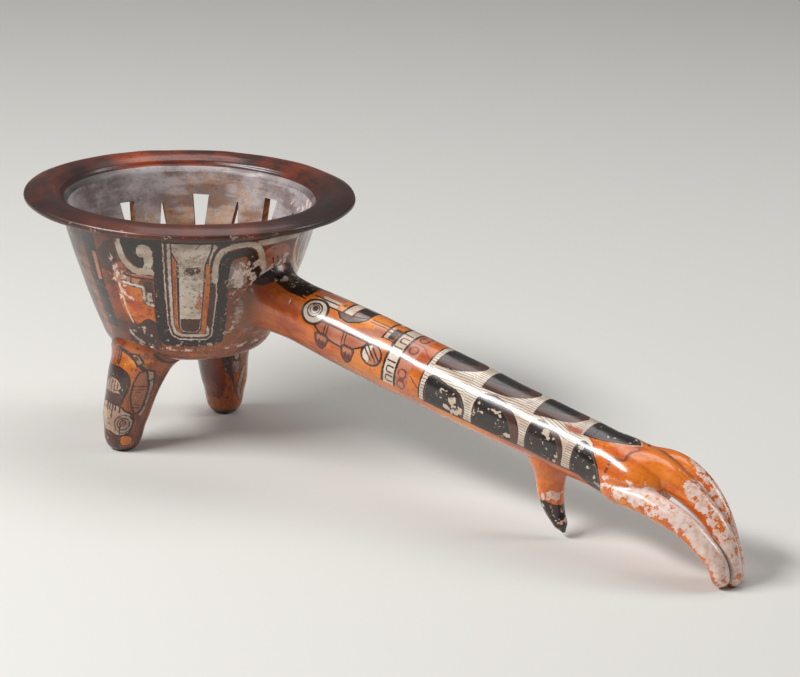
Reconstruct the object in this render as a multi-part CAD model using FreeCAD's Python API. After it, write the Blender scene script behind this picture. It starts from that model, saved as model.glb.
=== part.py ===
import FreeCAD, Part
import math
import os

from FreeCAD import Vector

# A fired clay ladle censer: an openwork bowl with a wide everted rim stands on
# two splayed hollow legs, and a long hollow handle slopes down from its side to
# a bird's foot, whose toe tips are the third point of the stand.
# Millimetres, +Z up. While it is built, the bowl's axis is the Z axis, the
# handle runs towards +X and the ground is z = 0. The finished pieces then move
# together, so that the origin is under the middle of the whole censer.

# Rim: a thin plate with a crowned top and a rounded lip.
rim_radius = 100.0
mouth_radius = 77.0
lip_height = 151.0
lip_thickness = 4.4
rim_crown = 2.6
rim_crest_share = 0.62
rim_root_reach = 2.6
rim_root_drop = 1.4
rim_root_fillet_out = 0.9
rim_root_fillet_up = 0.7
mouth_roll = 2.4
mouth_roll_out = 0.5
mouth_roll_up = 0.8
mouth_edge_drop = 0.4
throat_hollow = 0.5

# Bowl wall and floor.
wall_top_height = 144.5
wall_top_radius = 78.4
wall_bulge = 1.6
wall_foot_height = 68.0
wall_foot_radius = 51.0
wall_thickness = 5.2
floor_height = 58.9
floor_thickness = 6.0
floor_flat_radius = 36.0
floor_corner_out = 0.68
floor_corner_up = 0.32
inner_corner_out = 0.66
inner_corner_up = 0.3

# Draught slots through the wall that faces away from the painted side, in turn
# wedges that narrow downwards and triangles that point upwards.
slot_row_azimuth = 124.4
slot_pitch_angle = 19.9
slot_foot_height = 104.0
slot_row_fall = 1.3
wedge_count = 3
wedge_height = 29.0
wedge_top_width = 10.4
wedge_foot_width = 3.6
triangle_height = 25.0
triangle_foot_width = 7.4
triangle_point_width = 0.8

# Handle: a hollow tube whose axis drops from the bowl to the foot.
handle_slope = 0.1897
handle_axis_height = 111.67
handle_root_radius = 17.5
handle_swell_radius = 19.1
handle_end_radius = 17.5
handle_swell_x = 155.0
handle_end_x = 302.0
handle_taper_slack = 0.1
handle_taper_shift = 12.0
handle_wall = 7.0
neck_flare_radius = 24.0
neck_flare_extra = 4.0
neck_flare_loss = 2.6
neck_waist_extra = 0.9
neck_reach = 88.0
neck_thickness = 2.6
vent_radius = 2.2
vent_x = 104.0

# Bird's foot at the handle's end.
palm_half_width = 21.0
palm_half_height = 18.6
palm_length = 40.0
plug_length = 9.0
plug_overlap = 6.0
luting_gap = 0.15
claw_reach = 391.5
toe_tip_radius = 5.6
near_toe_root_radius = 8.6
middle_toe_root_radius = 11.6
far_toe_root_radius = 9.2
near_toe_spread = 14.6
far_toe_spread = 13.0
near_toe_lift = 1.6
talon_x = 270.0
talon_root_radius = 9.6
talon_tip_height = 4.2
talon_hook = 10.5
worn_flat = 0.6

# Legs: hollow, tapering, splayed outwards and a little back.
leg_foot_x = -9.6
leg_foot_y = 48.2
leg_lean_x = 0.109
leg_lean_y = 0.25
leg_foot_radius = 11.6
leg_mid_radius = 15.4
leg_top_radius = 20.5
leg_mid_height = 32.0
leg_top_height = 62.0
leg_root_rise = 14.0
leg_root_extra = 3.0
leg_ankle_height = 10.5
leg_ankle_extra = 0.4
leg_shin_height = 20.0
leg_shin_share = 0.45
leg_shin_extra = 0.6
leg_calf_rise = 0.4
leg_calf_swelling = 0.38
leg_wall = 6.0
leg_hollow_top = 54.0
leg_vent_width = 2.6
leg_vent_height = 15.0

# Loose clay pellets that rattle in the handle and in the legs.
handle_pellet_radius = 3.2
leg_pellet_radius = 4.2
pellet_gap = 0.4

handle_bore_radius = handle_root_radius - handle_wall
handle_angle = math.degrees(math.atan(handle_slope))
pieces = {}


def arc(a, b, c):
    return Part.Arc(a, b, c).toShape()


def line(a, b):
    return Part.LineSegment(a, b).toShape()


def spun(edges):
    """Turn a closed outline in the XZ plane once about the Z axis."""
    face = Part.Face(Part.Wire(edges))
    solid = face.revolve(Vector(0, 0, 0), Vector(0, 0, 1), 360)
    return solid if solid.Volume > 0 else solid.reversed()


def smooth_solid(stations):
    """A solid through round or oval sections: centre, direction, half width, half height."""
    wires = []
    for centre, direction, half_width, half_height in stations:
        ahead = Vector(direction)
        ahead.normalize()
        up = ahead.cross(Vector(0, 1, 0))
        up.normalize()
        side = up.cross(ahead)
        turn = FreeCAD.Rotation(side, up, ahead, "ZXY")
        if abs(half_width - half_height) < 0.01:
            ring = Part.Circle(Vector(0, 0, 0), Vector(0, 0, 1), half_width).toShape()
        elif half_width > half_height:
            ring = Part.Ellipse(Vector(0, 0, 0), half_width, half_height).toShape()
        else:
            ring = Part.Ellipse(Vector(0, 0, 0), half_height, half_width).toShape()
            ring.rotate(Vector(0, 0, 0), Vector(0, 0, 1), 90)
        ring.Placement = FreeCAD.Placement(centre, turn).multiply(ring.Placement)
        wires.append(Part.Wire([ring]))
    solid = Part.makeLoft(wires, True, False)
    return solid if solid.Volume > 0 else solid.reversed()


round_end_shares = (0.86, 0.5, 0.12)


def limb(centres, radii):
    """A round limb along a bent line of centres, rounded over at both of its ends."""
    start = centres[0].sub(centres[1])
    finish = centres[-1].sub(centres[-2])
    start.normalize()
    finish.normalize()
    cap = [(share, math.sqrt(1 - share ** 2)) for share in round_end_shares]
    stations = []
    for radius_share, reach_share in reversed(cap):
        centre = centres[0] + start * (radii[0] * reach_share)
        stations.append((centre, start * -1, radii[0] * radius_share, radii[0] * radius_share))
    for number, centre in enumerate(centres):
        before = centres[max(number - 1, 0)]
        after = centres[min(number + 1, len(centres) - 1)]
        stations.append((centre, after.sub(before), radii[number], radii[number]))
    for radius_share, reach_share in cap:
        centre = centres[-1] + finish * (radii[-1] * reach_share)
        stations.append((centre, finish, radii[-1] * radius_share, radii[-1] * radius_share))
    return smooth_solid(stations)


def largest(shape):
    """The biggest solid of a cut shape, without loose crumbs."""
    return max(shape.Solids, key=lambda solid: solid.Volume)


# Outline of the bowl, from the underside of the floor up to the rim's root.
def wall_point(share, inset):
    """A point on the wall: share 0 at the foot, 1 at the top, inset towards the axis."""
    rise = wall_top_height - wall_foot_height
    run = wall_top_radius - wall_foot_radius
    bulge = wall_bulge * 4 * share * (1 - share)
    slant = math.hypot(rise, run)
    radius = wall_foot_radius + run * share + (bulge - inset) * rise / slant
    height = wall_foot_height + rise * share - (bulge - inset) * run / slant
    return Vector(radius, 0, height)


outer_foot = wall_point(0, 0)
outer_middle = wall_point(0.5, 0)
outer_top = wall_point(1, 0)
inner_foot = wall_point(0, wall_thickness)
inner_middle = wall_point(0.5, wall_thickness)
inner_top = wall_point(1, wall_thickness)

floor_top = floor_height + floor_thickness
floor_flat_edge = Vector(floor_flat_radius, 0, floor_height)
floor_corner = Vector(
    floor_flat_radius + floor_corner_out * (wall_foot_radius - floor_flat_radius),
    0,
    floor_height + floor_corner_up * (wall_foot_height - floor_height),
)
inner_flat_edge = Vector(floor_flat_radius - wall_thickness / 2, 0, floor_top)
inner_corner = Vector(
    inner_flat_edge.x + inner_corner_out * (inner_foot.x - inner_flat_edge.x),
    0,
    floor_top + inner_corner_up * (inner_foot.z - floor_top),
)


def make_bowl_floor():
    centre_low = Vector(0, 0, floor_height)
    centre_high = Vector(0, 0, floor_top)
    return spun([
        line(centre_low, floor_flat_edge),
        arc(floor_flat_edge, floor_corner, outer_foot),
        line(outer_foot, inner_foot),
        arc(inner_foot, inner_corner, inner_flat_edge),
        line(inner_flat_edge, centre_high),
        line(centre_high, centre_low),
    ])


def slot_cutter(azimuth, foot_width, top_width, height):
    """A prism that cuts one slot outwards through the wall."""
    inside = inner_foot.x
    outside = rim_radius
    foot = slot_foot_height
    top = slot_foot_height + height
    outline = Part.makePolygon([
        Vector(inside, -foot_width / 2, foot),
        Vector(inside, foot_width / 2, foot),
        Vector(inside, top_width / 2, top),
        Vector(inside, -top_width / 2, top),
        Vector(inside, -foot_width / 2, foot),
    ])
    prism = Part.Face(outline).extrude(Vector(outside - inside, 0, 0))
    prism.rotate(Vector(0, 0, 0), Vector(0, 0, 1), azimuth)
    return prism


def make_bowl_wall():
    wall = spun([
        arc(outer_foot, outer_middle, outer_top),
        line(outer_top, inner_top),
        arc(inner_top, inner_middle, inner_foot),
        line(inner_foot, outer_foot),
    ])
    slot_count = 2 * wedge_count + 1
    for number in range(slot_count):
        step = number - (slot_count - 1) / 2
        azimuth = slot_row_azimuth + step * slot_pitch_angle
        fall = step * slot_row_fall
        if number % 2 == 1:
            widths = (wedge_foot_width, wedge_top_width)
            height = wedge_height - fall
        else:
            widths = (triangle_foot_width, triangle_point_width)
            height = triangle_height - fall
        cutter = slot_cutter(azimuth, *widths, height)
        wall = wall.cut(cutter)
    return largest(wall)


def make_rim():
    half = lip_thickness / 2
    underside_root = Vector(outer_top.x + rim_root_reach, 0, lip_height - half - rim_root_drop)
    root_fillet = Vector(
        outer_top.x + rim_root_fillet_out,
        0,
        (outer_top.z + underside_root.z) / 2 + rim_root_fillet_up,
    )
    underside_lip = Vector(rim_radius - half, 0, lip_height - half)
    lip_edge = Vector(rim_radius, 0, lip_height)
    top_lip = Vector(rim_radius - half, 0, lip_height + half)
    crest = Vector(
        mouth_radius + rim_crest_share * (rim_radius - mouth_radius),
        0,
        lip_height + half + rim_crown,
    )
    mouth_top = Vector(mouth_radius + mouth_roll, 0, lip_height + half)
    mouth_fillet = Vector(mouth_radius + mouth_roll_out, 0, lip_height + mouth_roll_up)
    mouth_edge = Vector(mouth_radius, 0, lip_height - mouth_edge_drop)
    throat = Vector(
        (mouth_edge.x + inner_top.x) / 2 - throat_hollow,
        0,
        (mouth_edge.z + inner_top.z) / 2,
    )
    return spun([
        line(inner_top, outer_top),
        arc(outer_top, root_fillet, underside_root),
        line(underside_root, underside_lip),
        arc(underside_lip, lip_edge, top_lip),
        arc(top_lip, crest, mouth_top),
        arc(mouth_top, mouth_fillet, mouth_edge),
        arc(mouth_edge, throat, inner_top),
    ])


def bowl_body():
    """The bowl's outer form, filled, for fitting the legs and the handle against it."""
    top_centre = Vector(0, 0, outer_top.z)
    low_centre = Vector(0, 0, floor_height)
    return spun([
        line(low_centre, floor_flat_edge),
        arc(floor_flat_edge, floor_corner, outer_foot),
        arc(outer_foot, outer_middle, outer_top),
        line(outer_top, top_centre),
        line(top_centre, low_centre),
    ])


# Handle. Its own solids are turned about Z first, with z as the distance along
# the axis from the bowl's axis, and are then laid down along the slope.
def along(x):
    """Distance along the handle's axis of the point above x on the ground."""
    return x / math.cos(math.radians(handle_angle))


def lay_down(shape):
    shape.rotate(Vector(0, 0, 0), Vector(0, 1, 0), 90 + handle_angle)
    shape.translate(Vector(0, 0, handle_axis_height))
    return shape


def on_axis(x):
    return Vector(x, 0, handle_axis_height - handle_slope * x)


handle_start = along(wall_foot_radius)
handle_neck_end = along(neck_reach)
handle_swell = along(handle_swell_x)
handle_end = along(handle_end_x)


def tube_edge():
    """The handle's outer side line, a smooth curve through root, swell and end."""
    taper_radius = (handle_swell_radius + handle_end_radius) / 2 - handle_taper_slack
    taper_at = (handle_swell + handle_end) / 2 + handle_taper_shift
    curve = Part.BSplineCurve()
    curve.interpolate([
        Vector(handle_root_radius, 0, handle_neck_end),
        Vector(handle_swell_radius, 0, handle_swell),
        Vector(taper_radius, 0, taper_at),
        Vector(handle_end_radius, 0, handle_end),
    ])
    return curve.toShape()


def make_handle_tube(bowl):
    seat_radius = handle_root_radius - neck_thickness
    start = handle_start
    seat_end = handle_neck_end
    tube = spun([
        line(Vector(0, 0, start), Vector(seat_radius, 0, start)),
        line(Vector(seat_radius, 0, start), Vector(seat_radius, 0, seat_end)),
        line(Vector(seat_radius, 0, seat_end), Vector(handle_root_radius, 0, seat_end)),
        tube_edge(),
        line(Vector(handle_end_radius, 0, handle_end), Vector(0, 0, handle_end)),
        line(Vector(0, 0, handle_end), Vector(0, 0, start)),
    ])
    bore = Part.makeCylinder(
        handle_bore_radius, handle_end - start + 2, Vector(0, 0, start - 1), Vector(0, 0, 1))
    tube = lay_down(tube.cut(bore))
    vent_from = on_axis(vent_x)
    vent = Part.makeCylinder(vent_radius, 2 * handle_swell_radius, vent_from, Vector(0, 0, -1))
    return largest(tube.cut(vent).cut(bowl))


def make_neck_collar(bowl):
    seat_radius = handle_root_radius - neck_thickness
    flare_start = handle_start
    flare_end = handle_neck_end
    flare_length = flare_end - flare_start
    root_radius = neck_flare_radius + neck_flare_extra
    flare = Part.BSplineCurve()
    flare.interpolate([
        Vector(root_radius, 0, flare_start),
        Vector(neck_flare_radius - neck_flare_loss, 0, flare_start + 0.28 * flare_length),
        Vector(handle_root_radius + neck_waist_extra, 0, flare_start + 0.62 * flare_length),
        Vector(handle_root_radius, 0, flare_end),
    ])
    collar = spun([
        line(Vector(seat_radius, 0, flare_start), Vector(root_radius, 0, flare_start)),
        flare.toShape(),
        line(Vector(handle_root_radius, 0, flare_end), Vector(seat_radius, 0, flare_end)),
        line(Vector(seat_radius, 0, flare_end), Vector(seat_radius, 0, flare_start)),
    ])
    return largest(lay_down(collar).cut(bowl))


# Sections of the palm. Each gives the share of the palm's length, how far it sags
# below the handle's line, how much more steeply it faces down, and how much
# narrower and lower it is than the palm at its fullest.
palm_sections = [
    (0.35, 0.0, 0.0, 1.5, 0.4),
    (0.75, 0.4, 0.06, 0.0, 1.2),
    (1.0, 1.2, 0.16, 3.5, 4.4),
    (1.16, 2.2, 0.22, 10.5, 10.5),
]


def make_palm():
    slope = Vector(1, 0, -handle_slope)
    stations = [(on_axis(handle_end_x), slope, handle_end_radius, handle_end_radius)]
    for share, sag, steeper, narrower, lower in palm_sections:
        centre = on_axis(handle_end_x + share * palm_length) - Vector(0, 0, sag)
        direction = slope - Vector(0, 0, steeper)
        stations.append((centre, direction, palm_half_width - narrower, palm_half_height - lower))
    palm = smooth_solid(stations)
    plug = Part.makeCylinder(
        handle_bore_radius - luting_gap,
        plug_length + plug_overlap,
        Vector(0, 0, handle_end - plug_length),
        Vector(0, 0, 1),
    )
    return largest(palm.fuse(lay_down(plug)))


# Lines of the three toes, from inside the palm to the tip. Each place gives the
# share of the claw's length, of the toe's spread, of the fall from the handle's
# axis to the ground, and of the swelling from the tip's radius to the root's.
near_toe_line = [
    (0.223, 0.88, 0.797, 0.95),
    (0.300, 0.96, 0.776, 1.00),
    (0.385, 1.00, 0.755, 0.86),
    (0.547, 1.00, 0.685, 0.60),
    (0.694, 0.96, 0.595, 0.42),
    (0.819, 0.87, 0.455, 0.28),
    (0.911, 0.77, 0.300, 0.18),
    (0.970, 0.64, 0.145, 0.08),
    (0.992, 0.57, 0.000, 0.00),
]
middle_toe_line = [
    (0.26, 0.0, 1.02, 0.85),
    (0.386, 0.0, 1.005, 0.95),
    (0.549, 0.0, 0.950, 0.52),
    (0.680, 0.0, 0.838, 0.28),
    (0.795, 0.0, 0.700, 0.14),
    (0.895, 0.0, 0.540, 0.08),
    (0.964, 0.0, 0.355, 0.05),
    (1.004, 0.0, 0.165, 0.02),
    (1.020, 0.0, 0.000, 0.00),
]
far_toe_line = [
    (0.28, 0.75, 1.02, 0.70),
    (0.447, 0.96, 1.015, 1.00),
    (0.568, 1.00, 0.955, 0.80),
    (0.694, 0.96, 0.840, 0.54),
    (0.789, 0.90, 0.690, 0.32),
    (0.867, 0.83, 0.510, 0.16),
    (0.926, 0.74, 0.320, 0.07),
    (0.968, 0.66, 0.140, 0.02),
    (0.984, 0.60, 0.000, 0.00),
]


def make_toe(shape_line, spread, root_radius, lift):
    """One toe, its tip resting on the ground or held just above it by lift."""
    low = toe_tip_radius - worn_flat + lift
    high = on_axis(handle_end_x).z
    centres = []
    radii = []
    for forward, across, height, swelling in shape_line:
        x = handle_end_x + forward * (claw_reach - handle_end_x)
        centres.append(Vector(x, across * spread, low + height * (high - low)))
        radii.append(toe_tip_radius + swelling * (root_radius - toe_tip_radius))
    return limb(centres, radii)


# Line of the rear talon from inside the handle to its tip. Each place gives how far
# it stands forward of the talon's own line, how high above the tip it is, and how
# much its radius is more or less than at the root. The shank leans only a little;
# on the hook the way forward is a share of the hook's reach.
talon_shank = [
    (-1.0, 45.8, 2.0),
    (-0.4, 36.8, 0.6),
    (0.2, 28.3, -1.0),
    (1.4, 17.8, -2.5),
]
talon_bend = [
    (0.38, 11.4, -3.9),
    (0.70, 5.6, -5.4),
    (0.92, 2.2, -6.7),
    (1.00, 0.4, -8.2),
]


def make_rear_talon():
    places = list(talon_shank)
    for share, above_tip, swelling in talon_bend:
        places.append((share * talon_hook, above_tip, swelling))
    centres = []
    radii = []
    for forward, above_tip, swelling in places:
        centres.append(Vector(talon_x + forward, 0, talon_tip_height + above_tip))
        radii.append(talon_root_radius + swelling)
    return limb(centres, radii)


def ground_block():
    """A block of the ground that reaches past every piece, to cut the soles flat."""
    side = 2 * claw_reach
    return Part.makeBox(2 * side, 2 * side, side, Vector(-side, -side, -side))


# Legs.
def leg_line(side, height):
    """The leg's centre line: upright at the foot, leaning in more and more above it."""
    lean = height * abs(height) / leg_top_height
    return Vector(
        leg_foot_x + leg_lean_x * lean,
        side * (leg_foot_y - leg_lean_y * lean),
        height,
    )


# The rounded toe of a leg: heights, and shares of the foot's radius there.
leg_toe = [
    (-worn_flat, 0.42),
    (1.6, 0.74),
    (5.0, 0.93),
]
leg_hollow_radius = leg_foot_radius - leg_wall + 1.0


def leg_hollow_line(side):
    """The two ends of the leg's straight hollow: its round bottom's centre and its top."""
    return leg_line(side, leg_wall + leg_hollow_radius), leg_line(side, leg_hollow_top)


def make_leg(side, bowl):
    """One leg: stations rise from the worn sole to a flare that meets the bowl."""
    ahead = Vector(0, 0, 1)
    shin_radius = leg_foot_radius + leg_shin_share * (leg_mid_radius - leg_foot_radius)
    calf_height = leg_mid_height + leg_calf_rise * (leg_top_height - leg_mid_height)
    calf_radius = leg_mid_radius + leg_calf_swelling * (leg_top_radius - leg_mid_radius)
    stations = [(height, share * leg_foot_radius) for height, share in leg_toe]
    stations += [
        (leg_ankle_height, leg_foot_radius + leg_ankle_extra),
        (leg_shin_height, shin_radius + leg_shin_extra),
        (leg_mid_height, leg_mid_radius),
        (calf_height, calf_radius),
        (leg_top_height, leg_top_radius),
        (leg_top_height + leg_root_rise, leg_top_radius + leg_root_extra),
    ]
    rings = []
    for height, radius in stations:
        ring = Part.Circle(leg_line(side, height), ahead, radius).toShape()
        rings.append(Part.Wire([ring]))
    leg = Part.makeLoft(rings, True, False)
    leg = largest(leg.cut(ground_block()).cut(bowl))

    hollow_low, hollow_high = leg_hollow_line(side)
    direction = hollow_high.sub(hollow_low)
    hollow = Part.makeCylinder(leg_hollow_radius, direction.Length, hollow_low, direction)
    hollow = hollow.fuse(Part.makeSphere(leg_hollow_radius, hollow_low))
    leg = leg.cut(hollow)

    vent_height = (leg_mid_height + leg_hollow_top) / 2
    vent_at = leg_line(side, vent_height)
    reach = 2 * leg_top_radius
    vent = Part.makeBox(reach, leg_vent_width, leg_vent_height)
    vent.translate(Vector(-reach, -leg_vent_width / 2, -leg_vent_height / 2))
    vent.translate(vent_at)
    return largest(leg.cut(vent))


# Pellets at rest: each lies at the low end of its hollow.
handle_pellet_seat = handle_bore_radius - handle_pellet_radius - pellet_gap
handle_pellet_step = 2 * math.asin((handle_pellet_radius + pellet_gap) / handle_pellet_seat)
handle_pellet_low = handle_end - plug_length - handle_pellet_radius - pellet_gap


def make_handle_pellet(step):
    """A pellet on the bore's floor, so many steps round from the bore's lowest line."""
    turned = step * handle_pellet_step
    down = handle_pellet_seat * math.cos(turned)
    across = handle_pellet_seat * math.sin(turned)
    pellet = Part.makeSphere(handle_pellet_radius, Vector(down, across, handle_pellet_low))
    return lay_down(pellet)


def make_leg_pellet(side):
    """A pellet in the round bottom of a leg's hollow."""
    low, high = leg_hollow_line(side)
    up = high.sub(low)
    up.normalize()
    drop = leg_hollow_radius - leg_pellet_radius - pellet_gap
    return Part.makeSphere(leg_pellet_radius, low - up * drop)


bowl = bowl_body()
pieces["bowl_floor"] = make_bowl_floor()
pieces["bowl_wall"] = make_bowl_wall()
pieces["rim_flange"] = make_rim()
pieces["neck_collar"] = make_neck_collar(bowl)
pieces["handle_tube"] = make_handle_tube(bowl)
pieces["claw_palm"] = make_palm()

sole = ground_block()
palm = pieces["claw_palm"]
near_toe = make_toe(near_toe_line, -near_toe_spread, near_toe_root_radius, near_toe_lift)
far_toe = make_toe(far_toe_line, far_toe_spread, far_toe_root_radius, 0)
middle_toe = make_toe(middle_toe_line, 0, middle_toe_root_radius, 0)
near_toe = near_toe.cut(palm).cut(sole)
far_toe = far_toe.cut(palm).cut(sole)
middle_toe = middle_toe.cut(palm).cut(near_toe).cut(far_toe).cut(sole)
pieces["near_toe"] = largest(near_toe)
pieces["far_toe"] = largest(far_toe)
pieces["middle_toe"] = largest(middle_toe)

handle_core = lay_down(Part.makeCylinder(
    handle_swell_radius - handle_wall, handle_end, Vector(0, 0, 0), Vector(0, 0, 1)))
talon = make_rear_talon().cut(pieces["handle_tube"]).cut(handle_core)
pieces["rear_talon"] = min(talon.Solids, key=lambda solid: solid.CenterOfMass.z)

for name, side in (("near", -1), ("far", 1)):
    pieces[name + "_leg"] = make_leg(side, bowl)
    pieces[name + "_leg_pellet"] = make_leg_pellet(side)

for number, step in enumerate((-1, 0, 1), 1):
    pieces["handle_pellet_%d" % number] = make_handle_pellet(step)

# Move everything so that the origin is on the ground under the middle.
whole = Part.makeCompound(list(pieces.values()))
box = whole.optimalBoundingBox(False)
shift = Vector(-(box.XMin + box.XMax) / 2, -(box.YMin + box.YMax) / 2, -box.ZMin)
os.makedirs("parts", exist_ok=True)
for name, shape in pieces.items():
    shape.translate(shift)
    solids = shape.Solids
    print(name, "valid", shape.isValid(), "solids", len(solids), "volume", round(shape.Volume, 1))
    shape.exportStep("parts/" + name + ".step")
print("origin moved by", [round(value, 4) for value in shift])
print("size", round(box.XLength, 3), round(box.YLength, 3), round(box.ZLength, 3))

# How far each pellet can slide, for the record of what moves.
handle_travel = handle_pellet_low - along(wall_top_radius)
handle_up = on_axis(0).sub(on_axis(1))
handle_up.normalize()
handle_up_parts = [round(value, 5) for value in handle_up]
print("handle pellets slide", round(handle_travel, 2), "along", handle_up_parts)
for name, side in (("near", -1), ("far", 1)):
    low, high = leg_hollow_line(side)
    up = high.sub(low)
    travel = up.Length - leg_pellet_radius - pellet_gap
    up.normalize()
    print(name, "leg pellet slides", round(travel, 2), "along", [round(value, 5) for value in up])
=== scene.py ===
# %% [markdown]
# The censer. It is a fired clay ladle: an openwork bowl with a wide rim, two splayed
# hollow legs, and a long hollow handle that ends in a bird's foot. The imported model
# holds every piece at its real size, so this scene only has to dress it. Each
# visible piece is built again as a finer mesh in the place of its plain solid, so
# that it can carry the painted slip, the worn edges and the marks of burnishing.

import math

import bpy
import numpy as np
from mathutils import Matrix, Vector
from mathutils.bvhtree import BVHTree


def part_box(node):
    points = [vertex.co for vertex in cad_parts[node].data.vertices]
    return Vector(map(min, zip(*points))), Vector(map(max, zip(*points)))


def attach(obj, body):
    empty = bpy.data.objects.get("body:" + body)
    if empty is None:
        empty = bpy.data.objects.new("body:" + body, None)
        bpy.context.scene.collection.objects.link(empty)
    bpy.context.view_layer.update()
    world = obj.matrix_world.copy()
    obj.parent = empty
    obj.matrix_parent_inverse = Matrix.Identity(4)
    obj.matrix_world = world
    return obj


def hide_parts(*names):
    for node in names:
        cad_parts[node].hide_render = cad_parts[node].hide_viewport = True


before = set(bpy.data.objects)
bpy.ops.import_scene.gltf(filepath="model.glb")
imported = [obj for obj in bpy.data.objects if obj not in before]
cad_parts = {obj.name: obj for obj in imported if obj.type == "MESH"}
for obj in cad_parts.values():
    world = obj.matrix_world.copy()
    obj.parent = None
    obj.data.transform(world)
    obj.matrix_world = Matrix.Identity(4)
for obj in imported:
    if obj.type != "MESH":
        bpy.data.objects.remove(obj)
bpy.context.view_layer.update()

# %% [markdown]
# Everything below is thought out in millimetres from the bowl's own axis, because
# that is how the pot was turned and painted. The axis is read from the rim's box,
# and one helper moves finished points into the frame, which is in metres.

# %% Main sizes, read from the frame
MM = 0.001
rim_low, rim_high = (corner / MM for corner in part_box("rim_flange"))
wall_low, wall_high = (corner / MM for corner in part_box("bowl_wall"))
floor_low, floor_high = (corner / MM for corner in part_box("bowl_floor"))

bowl_x = (rim_low.x + rim_high.x) / 2
rim_radius = (rim_high.x - rim_low.x) / 2
wall_top_radius = (wall_high.x - wall_low.x) / 2
wall_foot_radius = (floor_high.x - floor_low.x) / 2
wall_foot_height = wall_low.z
floor_height = floor_low.z
print("bowl axis at x", round(bowl_x, 2), "rim radius", round(rim_radius, 2))

wall_thickness = 5.2
wall_bulge = 1.6
wall_top_height = 144.5
floor_thickness = 6.0
floor_flat_radius = 36.0
mouth_radius = 77.0
lip_height = 151.0
lip_thickness = 4.4
rim_crown = 2.6

handle_slope = 0.1897
handle_axis_height = 111.67
neck_end = 88.0
handle_end = 302.0
handle_bore = 10.5
skin_start = handle_bore + 2
around_radius = 18.5

# %% [markdown]
# The camera stands where the photographer stood: in front, to the right of the
# bowl and a little above it, with a long lens. Its place and turn were worked out
# from the rim's ellipse and the line of the handle.

# %% Camera
camera_place = Vector((1311.7 + bowl_x, -1569.5, 694.2)) * MM
camera_yaw, camera_pitch, camera_roll = (math.radians(turn) for turn in (126.26, 17.14, 1.91))
level = math.cos(camera_pitch)
ahead = Vector((level * math.cos(camera_yaw), level * math.sin(camera_yaw), -math.sin(camera_pitch)))
right = Vector((math.sin(camera_yaw), -math.cos(camera_yaw), 0))
up = right.cross(ahead)
camera_x = right * math.cos(camera_roll) + up * math.sin(camera_roll)
camera_y = up * math.cos(camera_roll) - right * math.sin(camera_roll)


def linked(name, data):
    """A new object in the scene that holds this data."""
    made = bpy.data.objects.new(name, data)
    bpy.context.scene.collection.objects.link(made)
    return made


camera = linked("camera", bpy.data.cameras.new("camera"))
axes = Matrix((camera_x, camera_y, -ahead)).transposed()
camera.matrix_world = Matrix.Translation(camera_place) @ axes.to_4x4()
camera.data.sensor_width = 36.0
camera.data.lens = 157.5
camera.data.clip_end = 100.0
bpy.context.scene.camera = camera
print("camera at", [round(value, 3) for value in camera_place])

# %% [markdown]
# A node tree is a list of nodes and the wires between them, and writing it out call
# by call hides what it does. This helper adds one node, sets its own settings, and
# either fills an input or wires it to the output that feeds it.

# %% A helper for nodes
def add(tree, kind, inputs=None, **settings):
    """Add a node. Settings are its properties, inputs its sockets' values or what feeds them."""
    made = tree.nodes.new(kind)
    for name, value in settings.items():
        setattr(made, name, value)
    for name, value in (inputs or {}).items():
        if isinstance(value, bpy.types.NodeSocket):
            tree.links.new(value, made.inputs[name])
        else:
            made.inputs[name].default_value = value
    return made


def calc(tree, operation, *values):
    """One sum in a tree, as the output that holds its result."""
    return add(tree, "ShaderNodeMath", dict(enumerate(values)), operation=operation).outputs[0]


def linear(red, green, blue):
    """A colour as a painter reads it off a chart, 0 to 255, in the values that light uses."""
    parts = [value / 255 for value in (red, green, blue)]
    return tuple(v / 12.92 if v <= 0.04045 else ((v + 0.055) / 1.055) ** 2.4 for v in parts) + (1.0,)


# %% [markdown]
# The floor is a plain pale sheet. The camera sees it in its own pale grey, and so do
# reflections, while the light that falls on it still draws the censer's shadow.

# %% Floor
floor_tone = linear(214, 212, 207)
floor_reach, floor_drop = 9.0, 0.0002


def make_floor():
    mesh = bpy.data.meshes.new("floor")
    corners = [(-1, -1), (1, -1), (1, 1), (-1, 1)]
    places = [(x * floor_reach, y * floor_reach, -floor_drop) for x, y in corners]
    mesh.from_pydata(places, [], [(0, 1, 2, 3)])
    material = bpy.data.materials.new("pale_floor")
    material.use_nodes = True
    shader = material.node_tree.nodes["Principled BSDF"]
    shader.inputs["Base Color"].default_value = floor_tone
    shader.inputs["Roughness"].default_value = 0.9
    shader.inputs["Specular IOR Level"].default_value = 0.15
    mesh.materials.append(material)
    floor = linked("floor", mesh)
    return floor


print("floor", make_floor().name)

# %% [markdown]
# Burnished clay shows its shape through highlights. A long softbox stands high at
# the left, where its reflection runs as a bright band down the handle and across the
# bowl's front. A weaker one from the right rear edges the rim and the claw, and the
# pale surround fills the shadows.

# %% Lights
def softbox(name, place, aim, width, height, power):
    lamp = bpy.data.lights.new(name, "AREA")
    lamp.shape = "RECTANGLE"
    lamp.size = width
    lamp.size_y = height
    lamp.energy = power
    box = linked(name, lamp)
    box.location = place
    box.rotation_euler = (Vector(aim) - Vector(place)).to_track_quat("-Z", "Y").to_euler()
    return box


middle = (0.0, 0.0, 0.08)
softbox("key", (-0.72, -1.22, 1.42), middle, 1.25, 0.34, 42.0)
softbox("rear", (1.3, 1.3, 1.3), middle, 0.8, 0.8, 12.0)
softbox("overhead", (-0.3, 0.5, 1.9), middle, 1.2, 1.2, 10.0)
fill_strength, backdrop_strength = 0.17, 0.90

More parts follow.
